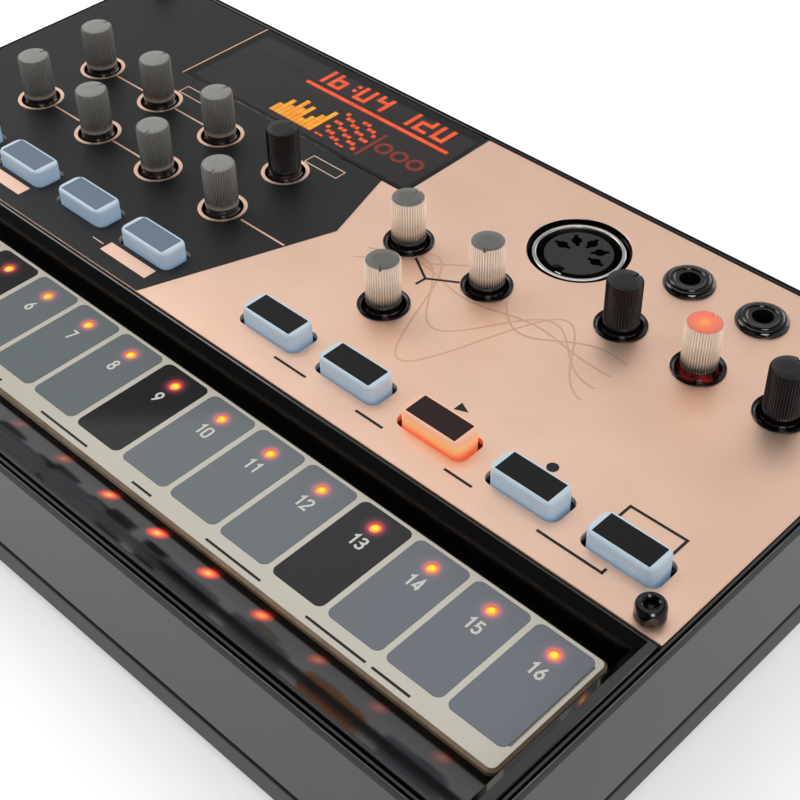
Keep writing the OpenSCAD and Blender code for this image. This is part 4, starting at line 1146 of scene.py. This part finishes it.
def place_copies(shape, name, spots, material, stands_for=(), crease=32):
    """A piece on the case: copies of one small shape, drawn around the origin, at spots in mm."""
    pattern = bpy.data.objects.new(name + "_pattern", to_mesh(shape, name + "_pattern", crease))
    points = bpy.data.meshes.new(name + "_points")
    points.from_pydata([Vector(spot) * MM for spot in spots], [], [])
    carrier = bpy.data.objects.new(name + "_carrier", points)
    for obj in (pattern, carrier):
        scene.collection.objects.link(obj)
    mesh = run_tree(carrier, standing, {"Piece": pattern, "Finish": material}, name)
    bpy.data.objects.remove(pattern)
    print(name, "copies:", len(spots), "faces:", len(mesh.polygons))
    place(name, mesh, "chassis", [material], stands_for)


# %% Strip, pads and lenses


def near_strip_rim(point, from_end, from_side):
    """Whether a point is that near to the strip's ends or to its long sides."""
    return (abs(point.x) > strip_high.x - from_end or point.y > strip_high.y - from_side
            or point.y < strip_low.y + from_side)


def strip_edges(a, b):
    """The outer top edge of the strip, and not the edges of its pockets."""
    outside = near_strip_rim(a, 1.5, 0.5) and near_strip_rim(b, 1.5, 0.5)
    return 1.0 if both_at(a, b, strip_high.z) and outside else 0.0


strip_mesh = softened("touch_strip", strip_edges, 0.45, 1)
for face in strip_mesh.polygons:
    bevelled = near_strip_rim(face.center / MM, 0.75, 0.75) and face.normal.z < 0.95
    face.material_index = 1 if bevelled else 0
place("strip_sheet", strip_mesh, "chassis", [strip_cream, strip_edge], ["touch_strip"])

pad_width, pad_radius, pad_height, pad_gap_z = light_pitch - 1.1, 1.2, 0.3, 0.02
pad_depth = pads_high.y - pads_low.y
pad_y = centre_of("step_pads")[1]
light_xs = [(i - (pad_count - 1) / 2) * light_pitch for i in range(pad_count)]


def pad_shape():
    """One pad with the hole for its light, drawn around its own middle."""
    loops = [round_rectangle(pad_width, pad_depth, pad_radius),
             shifted(circle(0.95, 32), (0, light_y - pad_y))]
    shape = bmesh.new()
    shape.from_mesh(printed(loops, pad_height, 0))
    bmesh.ops.remove_doubles(shape, verts=shape.verts, dist=0.001 * MM)
    bmesh.ops.scale(shape, vec=(1 / MM,) * 3, verts=shape.verts)
    return shape


accent_xs = light_xs[::4]
plain_xs = [x for x in light_xs if x not in accent_xs]
for name, xs, print_finish, stands_for in (
        ("plain_pads", plain_xs, pad_grey, ["step_pads"]), ("accent_pads", accent_xs, pad_dark, [])):
    spots = [(x, pad_y, pads_low.z + pad_gap_z) for x in xs]
    place_copies(pad_shape(), name, spots, print_finish, stands_for)

lens = bmesh.new()
build_stack(lens, [(circle(radius, 28), z) for radius, z in (
    (0.8, 0), (0.85, 1.05), (0.6, 1.17), (0.3, 1.2))])
spots = [(x, light_y, lights_low.z) for x in light_xs]
place_copies(lens, "step_lenses", spots, light_lens, ["step_lights"])

# %% Numbers and lines
# each digit is one stroke, drawn in a box 3 wide and 6 high
DIGITS = {
    "0": [(0, 1.2), (0, 4.8), (0.4, 5.7), (1.2, 6), (1.8, 6), (2.6, 5.7), (3, 4.8), (3, 1.2),
          (2.6, 0.3), (1.8, 0), (1.2, 0), (0.4, 0.3), (0, 1.2)],
    "1": [(0.4, 4.7), (1.9, 6), (1.9, 0)],
    "2": [(0, 4.6), (0.3, 5.6), (1.1, 6), (1.9, 6), (2.7, 5.6), (3, 4.7), (2.7, 3.7), (0, 0), (3.1, 0)],
    "3": [(0.1, 5), (0.6, 5.8), (1.5, 6), (2.5, 5.7), (2.9, 4.7), (2.4, 3.6), (1.3, 3.2), (2.6, 2.8),
          (3, 1.6), (2.6, 0.4), (1.5, 0), (0.5, 0.3), (0, 1.2)],
    "4": [(2.3, 0), (2.3, 4.6), (1.9, 6), (0, 1.5), (3.2, 1.5)],
    "5": [(2.8, 6), (0.4, 6), (0.3, 3.3), (1.5, 3.8), (2.6, 3.3), (3, 1.9), (2.6, 0.5), (1.5, 0),
          (0.5, 0.3), (0, 1)],
    "6": [(2.4, 6), (0.5, 3.2), (0, 1.9), (0.4, 0.5), (1.5, 0), (2.6, 0.5), (3, 1.8), (2.6, 3.1),
          (1.5, 3.6), (0.6, 3.2)],
    "7": [(0, 6), (3, 6), (1.1, 0)],
    "8": [(1.5, 3.3), (0.5, 3.8), (0.2, 4.8), (0.6, 5.7), (1.5, 6), (2.4, 5.7), (2.8, 4.8), (2.5, 3.8),
          (1.5, 3.3), (0.4, 2.7), (0, 1.6), (0.4, 0.4), (1.5, 0), (2.6, 0.4), (3, 1.6), (2.6, 2.7),
          (1.5, 3.3)],
    "9": [(0.6, 0), (2.5, 2.8), (3, 4.1), (2.6, 5.5), (1.5, 6), (0.4, 5.5), (0, 4.2), (0.4, 2.9),
          (1.5, 2.4), (2.4, 2.8)]}


def number_mesh(text, height, centre, z):
    """Plain digits of even stroke, centred on a point."""
    unit = height / 6
    step, weight, thickness = 4.3, 1.1, 0.01
    shape = bmesh.new()
    x0 = centre[0] - (step * len(text) - 1.3) / 2 * unit
    for seat, digit in enumerate(text):
        points = [(x0 + (x + seat * step) * unit, centre[1] + (y - 3) * unit) for x, y in DIGITS[digit]]
        ribbon(shape, points, weight * unit, z, z + thickness, 0.002)
    return to_mesh(shape, "number")


number_height, number_y = 2.1, light_y - 3.55
numbers = [number_mesh(str(i + 1), number_height, (x, number_y), pads_high.z + 0.02)
           for i, x in enumerate(light_xs)]
place("pad_numbers", join_meshes("pad_numbers", numbers), "chassis", [pad_number])

mark_y = -43.85
strip_marks = [printed([stroke([(a, mark_y), (b, mark_y)], 0.4)], ink_height, strip_high.z)
               for a, b in ((17.3, 21.75), (34.1, 45.65), (54.9, 66.4), (67.6, 74.6),
                            (-72.0, -60.4), (-49.7, -38.1), (-27.3, -15.8), (-5.2, 6.4))]
place("strip_lines", join_meshes("strip_lines", strip_marks), "chassis", [panel_ink])
print("numbers:", len(numbers), "- lines:", len(strip_marks))

# %% [markdown]
# ## The display
#
# Behind a window of smoked acrylic lies a dark module with glowing orange graphics. The smoke
# hides the module when it is off and lets only the light through. The graphics are generic:
# numbers in a dot grid, a field of dots, a row of level bars and three rings.

# %% Window, module and glows
window_glass = finish("smoked_acrylic", {
    "Base Color": colour("#8A8584"), "IOR": 1.4, "Transmission Weight": 1.0},
    dict(size=1.5, detail=3.0, roughness=(0.0, 0.05)))
place("window_sheet", softened("display_window", panel_edges, 0.12, 2), "chassis",
      [window_glass], ["display_window"])
module_black, tree, shader, where = start_finish("display_black", {"Roughness": 0.4})
add(tree, "ShaderNodeTexChecker", {
    "Vector": where, "Scale": 1 / (0.6 * MM), "Color1": colour("#0B0706"), "Color2": colour("#120A08")},
    to=shader.inputs["Base Color"])


def display_glow(name, strength, tints):
    """Light of one colour, with the slight unevenness of a diffuser."""
    return finish(name, {"Base Color": colour("#2A0A04"), "Emission Strength": strength},
                  dict(size=1.5, tints=tints, on="Emission Color"))


glow_orange = display_glow("display_orange", 4.0, [(0.35, "#F0480C"), (0.6, "#FF6414")])
glow_yellow = display_glow("display_yellow", 4.0, [(0.35, "#FF9A1C"), (0.6, "#FFB81E")])
glow_red = display_glow("display_red", 1.5, [(0.3, "#B8301C"), (0.7, "#D8442C")])
print("display finishes:", window_glass.name, module_black.name, glow_orange.name)

# %% Graphics of the display
module_z = span_of("display_module")[1].z
glyph_z = module_z - 0.59
frame_y = window_high.y - 6.0


def glyph_squares(text, x, y, cell):
    """Squares of a dot grid for a row of digits, drawn from seven bars each."""
    bars = {"0": "abcdef", "1": "bc", "2": "abged", "4": "fgbc", "6": "afgedc", ":": "", " ": ""}
    across, low, high = range(4), range(0, 4), range(3, 7)
    cells_of = {"a": {(i, 6) for i in across}, "g": {(i, 3) for i in across}, "d": {(i, 0) for i in across},
                "b": {(3, j) for j in high}, "c": {(3, j) for j in low}, "e": {(0, j) for j in low},
                "f": {(0, j) for j in high}}
    squares = []
    for digit in text:
        cells = set().union(*(cells_of[bar] for bar in bars[digit]))
        if digit == ":":
            cells = {(1, 2), (1, 4)}
        squares += [(x + i * cell, y + j * cell) for i, j in cells]
        x += cell * (3 if digit in ": " else 5.5)
    return squares


def tile(width, depth):
    """One thin square of light, drawn around the origin."""
    shape = bmesh.new()
    outline = round_rectangle(width, depth, 0.05, 1)
    build_stack(shape, [(outline, 0), (outline, 0.1)])
    return shape


cell, dot_pitch = 0.82, 1.1
text_x, graph_y = -41.5, 36.6
bright = glyph_squares("16:04 120", text_x, 49.9, cell)
bright += [(text_x + i * cell, 48.5) for i in range(46)]
bright += [(-27.0 + i * dot_pitch, graph_y + j * dot_pitch)
           for i in range(9) for j in range(9) if (i + 2 * j) % 5 < 2]
bar_heights = [4, 7, 5, 9, 6, 8, 3, 5, 7, 10]
bars = [(-39.5 + i * 1.15, graph_y + j * cell) for i, height in enumerate(bar_heights) for j in range(height)]
dim = [(-16.6, graph_y + j * cell) for j in range(11)]
for name, squares, width, glow in (("digits", bright, cell, glow_orange), ("bars", bars, 0.95, glow_yellow),
                                   ("scale", dim, 0.6, glow_red)):
    # the head line lies on the frame of the module, the rest lower down on its screen
    spots = [(x, y, module_z + 0.01 if y > frame_y else glyph_z) for x, y in squares]
    place_copies(tile(width, cell), "display_" + name, spots, glow)
ring = bmesh.new()
build_turned(ring, [(1.75, 0), (1.75, 0.1), (1.1, 0.1), (1.1, 0)], steps=40)
place_copies(ring, "display_rings", [(x, 41.6, glyph_z) for x in (-13.9, -9.9, -5.9)], glow_red)
nodes["display_module"].data.materials[0] = module_black

# %% [markdown]
# ## Sockets and fasteners
#
# The round socket is a deep drawn nickel shell around a moulded insulator. Its five contacts
# sit behind radial slots that widen in the middle. The insulator is drawn as a filled outline
# with five inner loops and pulled down into the socket. The nuts are turned: a profile is spun
# around the axis. A screw is a stack, and its hexagon is a level of the same stack.

# %% Metals and dark plastics
nickel = finish("nickel_plate", {"Base Color": colour("#C9C6C0"), "Metallic": 1.0},
                dict(size=2, detail=3.0, roughness=(0.1, 0.24)))
black_nylon = finish("black_nylon", {
    "Base Color": colour("#131416"), "Roughness": 0.36, "IOR": 1.45}, dict(size=0.8, depth=0.01))
cup_black = finish("polished_black_cup", {
    "Base Color": colour("#070708"), "Roughness": 0.05, "IOR": 1.55}, dict(size=2, depth=0.004))
black_oxide = finish("black_oxide_steel", {"Metallic": 0.5, "Roughness": 0.13},
                     dict(size=0.7, detail=3.0, tints=[(0.35, "#101213"), (0.7, "#1E2122")]))
bright_steel = finish("zinc_plated_steel", {
    "Base Color": colour("#D0D1D2"), "Metallic": 1.0, "Roughness": 0.3}, dict(size=0.5, depth=0.006))
print("metals:", nickel.name, black_oxide.name, bright_steel.name)

# %% Round multipin socket
din_low, din_high = span_of("din_insulator")
shell_low, shell_high = span_of("din_shell")
din_centre = centre_of("din_shell")
shell_radius = (shell_high.x - shell_low.x) / 2
core_radius = (din_high.x - din_low.x) / 2
lip, lip_z = 0.25, shell_high.z + 0.5
face_z, cup_floor_z = din_high.z + 0.2, shell_low.z + 1.5
bore_radius, pole_radius = 6.75, 0.01
shape = bmesh.new()
build_turned(shape, [
    (shell_radius, shell_low.z), (shell_radius, lip_z - lip), (shell_radius - lip * 0.3, lip_z - lip * 0.3),
    (shell_radius - lip, lip_z), (7.5, lip_z), (7.34, lip_z - 0.08), (7.24, lip_z - 0.25),
    (7.05, lip_z - 1.9), (bore_radius, lip_z - 3.2), (bore_radius, cup_floor_z),
    (pole_radius, cup_floor_z), (pole_radius, shell_low.z)], din_centre, 96)
place("din_shell_ring", to_mesh(shape, "din_shell_ring"), "chassis", [nickel], ["din_shell"])


def contact_slot(angle):
    """A radial slot that widens around the pin."""
    inner, outer, half, pin_r, pin_half = 2.0, 5.2, 0.36, 3.6, 0.95
    spread = math.asin(half / pin_half)
    arc = [spread + (math.pi - 2 * spread) * i / 10 for i in range(11)]
    side = [(pin_r + pin_half * math.cos(a), pin_half * math.sin(a)) for a in arc]
    points = [(outer, -half), (outer, half)] + side + [(inner, half), (inner, -half)]
    points += [(x, -y) for x, y in reversed(side)]
    along, up = math.cos(angle), math.sin(angle)
    return [(x * along - y * up, x * up + y * along) for x, y in points]


# the insulator's face with its keyway at the front and five slots
half_key = 10
face = [(core_radius * math.cos(a), core_radius * math.sin(a))
        for a in (math.radians(-90 + half_key + (360 - 2 * half_key) * i / 90) for i in range(91))]
face += [(-1.0, -core_radius + 1.1), (1.0, -core_radius + 1.1)]
loops = [face] + [contact_slot(math.radians(45 * i)) for i in range(5)]
core_depth = 4.0
core = printed([shifted(loop, din_centre) for loop in loops], core_depth, face_z - core_depth)
shape = bmesh.new()
plug = circle(core_radius - 0.05)
build_stack(shape, [(plug, din_low.z), (plug, face_z - core_depth + 0.1)], din_centre)
base = to_mesh(shape, "din_base")
place("din_insulator_face", join_meshes("din_insulator_face", [core, base]), "chassis",
      [black_nylon], ["din_insulator"])
shape = bmesh.new()
build_stack(shape, block_levels(1.5, 0.5, 0.1, face_z - 3, face_z - 0.9, 0.1, 2),
            (din_centre[0], din_centre[1] - core_radius + 0.4))
place("din_key_tab", to_mesh(shape, "din_key_tab"), "chassis", [nickel])
print("multipin socket at", [round(value, 2) for value in din_centre])

# %% Jack nuts and mouths
nut_low, nut_high = span_of("jack_nuts")
nut_radius = (nut_high.y - nut_low.y) / 2
jack_y = centre_of("jack_nuts")[1]
jack_xs = [nut_low.x + nut_radius + i * (nut_high.x - nut_low.x - 2 * nut_radius) / 2 for i in range(3)]
nut = bmesh.new()
height, nut_bore = nut_high.z - nut_low.z, 3.56
rounded = [(nut_bore + (nut_radius - nut_bore) * math.cos(a), (height + 0.05) * math.sin(a))
           for a in (math.radians(10 * i) for i in range(1, 9))]
build_turned(nut, [(nut_radius, 0.0)] + rounded + [(nut_bore, height), (nut_bore, 0.0)], steps=72)
spots = [(x, jack_y, nut_low.z) for x in jack_xs]
place_copies(nut, "jack_nut_rings", spots, cup_black, ["jack_nuts"])
sleeve = bmesh.new()
dome = [(2.95 + 0.6 * math.cos(a), 0.32 * math.sin(a)) for a in (math.radians(20 * i) for i in range(10))]
build_turned(sleeve, [(3.55, -0.3)] + dome + [
    (2.15, -0.25), (1.95, -0.6), (1.81, -1.1), (1.81, -1.3), (3.4, -1.3)], steps=72)
spots = [(x, jack_y, span_of("jack_sockets")[1].z) for x in jack_xs]
place_copies(sleeve, "jack_mouths", spots, cup_black)

# %% Socket screws
bolt_radius, knurl_depth, bolt_points = 2.25, 0.05, 96


def knurled(radius):
    """A circle whose every second point is sunk."""
    sunk = 1 - knurl_depth / radius
    return [(x * sunk, y * sunk) if i % 2 else (x, y)
            for i, (x, y) in enumerate(circle(radius, bolt_points))]


def hexagon(across_flats):
    """A hexagon with as many points as the circles of the same stack."""
    points = []
    for x, y in circle(1.0, bolt_points):
        angle = math.atan2(y, x)
        swing = (angle + math.pi / 6) % (math.pi / 3) - math.pi / 6
        reach = across_flats / 2 / math.cos(swing)
        points.append((x * reach, y * reach))
    return points


shank_z = span_of("panel_bolts")[0].z - panel_z
shank, under_head, mouth, socket_floor = [circle(radius, bolt_points) for radius in (1.25, 2.12, 1.35, 0.35)]
rim = [(circle(bolt_radius - inset, bolt_points), z) for inset, z in (
    (0.03, 1.95), (0.1, 2.2), (0.35, 2.44), (0.55, 2.5))]
bolt = bmesh.new()
build_stack(bolt, [(shank, shank_z), (shank, 0.0), (under_head, 0.0), (knurled(bolt_radius), 0.12),
                   (knurled(bolt_radius), 1.85)] + rim + [
    (mouth, 2.5), (hexagon(2.08), 2.3), (hexagon(2.0), 1.15), (socket_floor, 0.9)])
spots = corner_spots("panel_bolts", bolt_radius, panel_z)
place_copies(bolt, "panel_bolt_heads", spots, black_oxide, ["panel_bolts"], 26)

# %% [markdown]
# ## Feet, cover and the pieces inside
#
# What can be seen from below or through the slots also gets its proper finish. The feet are
# turned rubber pads with a rounded edge. The boards are green glass-epoxy with a solder mask,
# the spacers brass, the controls blue moulded plastic on steel.

# %% Underside
foot_radius, foot_top_z = 6.0, span_of("rubber_feet")[1].z
rubber = finish("black_rubber", {"Base Color": colour("#141415"), "Roughness": 0.75},
                dict(size=0.4, detail=3.0, depth=0.03))
foot = bmesh.new()
build_stack(foot, [(circle(foot_radius - inset), z) for inset, z in (
    (0.7, 0), (0.2, 0.2), (0, 0.8), (0, foot_top_z))])
spots = corner_spots("rubber_feet", foot_radius, 0)
place_copies(foot, "foot_pads", spots, rubber, ["rubber_feet"])


def cover_edges(a, b):
    """The two ends of the cover's outer face."""
    return 1.0 if both_at(a, b, case_foot_z) and min(abs(a.x), abs(b.x)) > 50 else 0.0


place("battery_cover_plate", softened("battery_cover", cover_edges, 0.25, 2), "battery_cover",
      [case_textured], ["battery_cover"])

# %% Finishes inside
board_green, tree, shader, where = start_finish("solder_mask_green", {"Roughness": 0.35, "Coat Weight": 0.4})
cells = add(tree, "ShaderNodeTexVoronoi", {"Vector": where, "Scale": 1 / (2.5 * MM)}, distance="MANHATTAN")
add(tree, "ShaderNodeValToRGB", {"Fac": cells}, to=shader.inputs["Base Color"], steps=[
    (0.0, "#C8C4B4"), (0.08, "#B8B4A4"), (0.1, "#1F5A3A"), (1.0, "#17472E")])
brass = finish("turned_brass", {"Base Color": colour("#C9A24B"), "Metallic": 1.0, "Roughness": 0.25},
               dict(size=0.4, depth=0.005))
pot_blue = finish("blue_moulding", {"Roughness": 0.45},
                  dict(size=1, tints=[(0.3, "#35597F"), (0.7, "#44699A")]))
cone_paper = finish("speaker_paper", {"Roughness": 0.8},
                    dict(size=0.7, detail=4.0, tints=[(0.3, "#333336"), (0.7, "#4A4A4E")]))
cell_sleeve, tree, shader, where = start_finish("cell_sleeve", {"Roughness": 0.3, "Metallic": 0.3})
parts = add(tree, "ShaderNodeSeparateXYZ", {0: where}).outputs
from_middle = add(tree, "ShaderNodeMath", {0: parts["X"]}, operation="ABSOLUTE")
sleeve_way = add(tree, "ShaderNodeMapRange", {"Value": from_middle, "From Max": 51 * MM})
add(tree, "ShaderNodeValToRGB", {"Fac": sleeve_way}, to=shader.inputs["Base Color"], steps=[
    (0.0, "#B8B9BC"), (0.06, "#30353B"), (0.7, "#3A4047"), (0.78, "#B98A4A")])

inside = {
    board_green: ["touch_board", "bezel_board", "panel_board", "main_board", "jack_board", "power_board"],
    brass: ["board_spacers"], pot_blue: ["pot_bodies"], cell_sleeve: ["batteries"], cone_paper: ["speaker"],
    bright_steel: ["encoder_body", "power_switch", "battery_contacts", "case_screws"],
    black_nylon: ["board_connector", "switch_bodies", "jack_sockets", "dc_socket"],
    cup_black: ["knob_collars"], knob_black: ["power_slider"], light_lens: ["bezel_lights"]}
for material, names in inside.items():
    for name in names:
        nodes[name].data.materials[0] = material
print("pieces with a finish inside:", sum(len(names) for names in inside.values()))
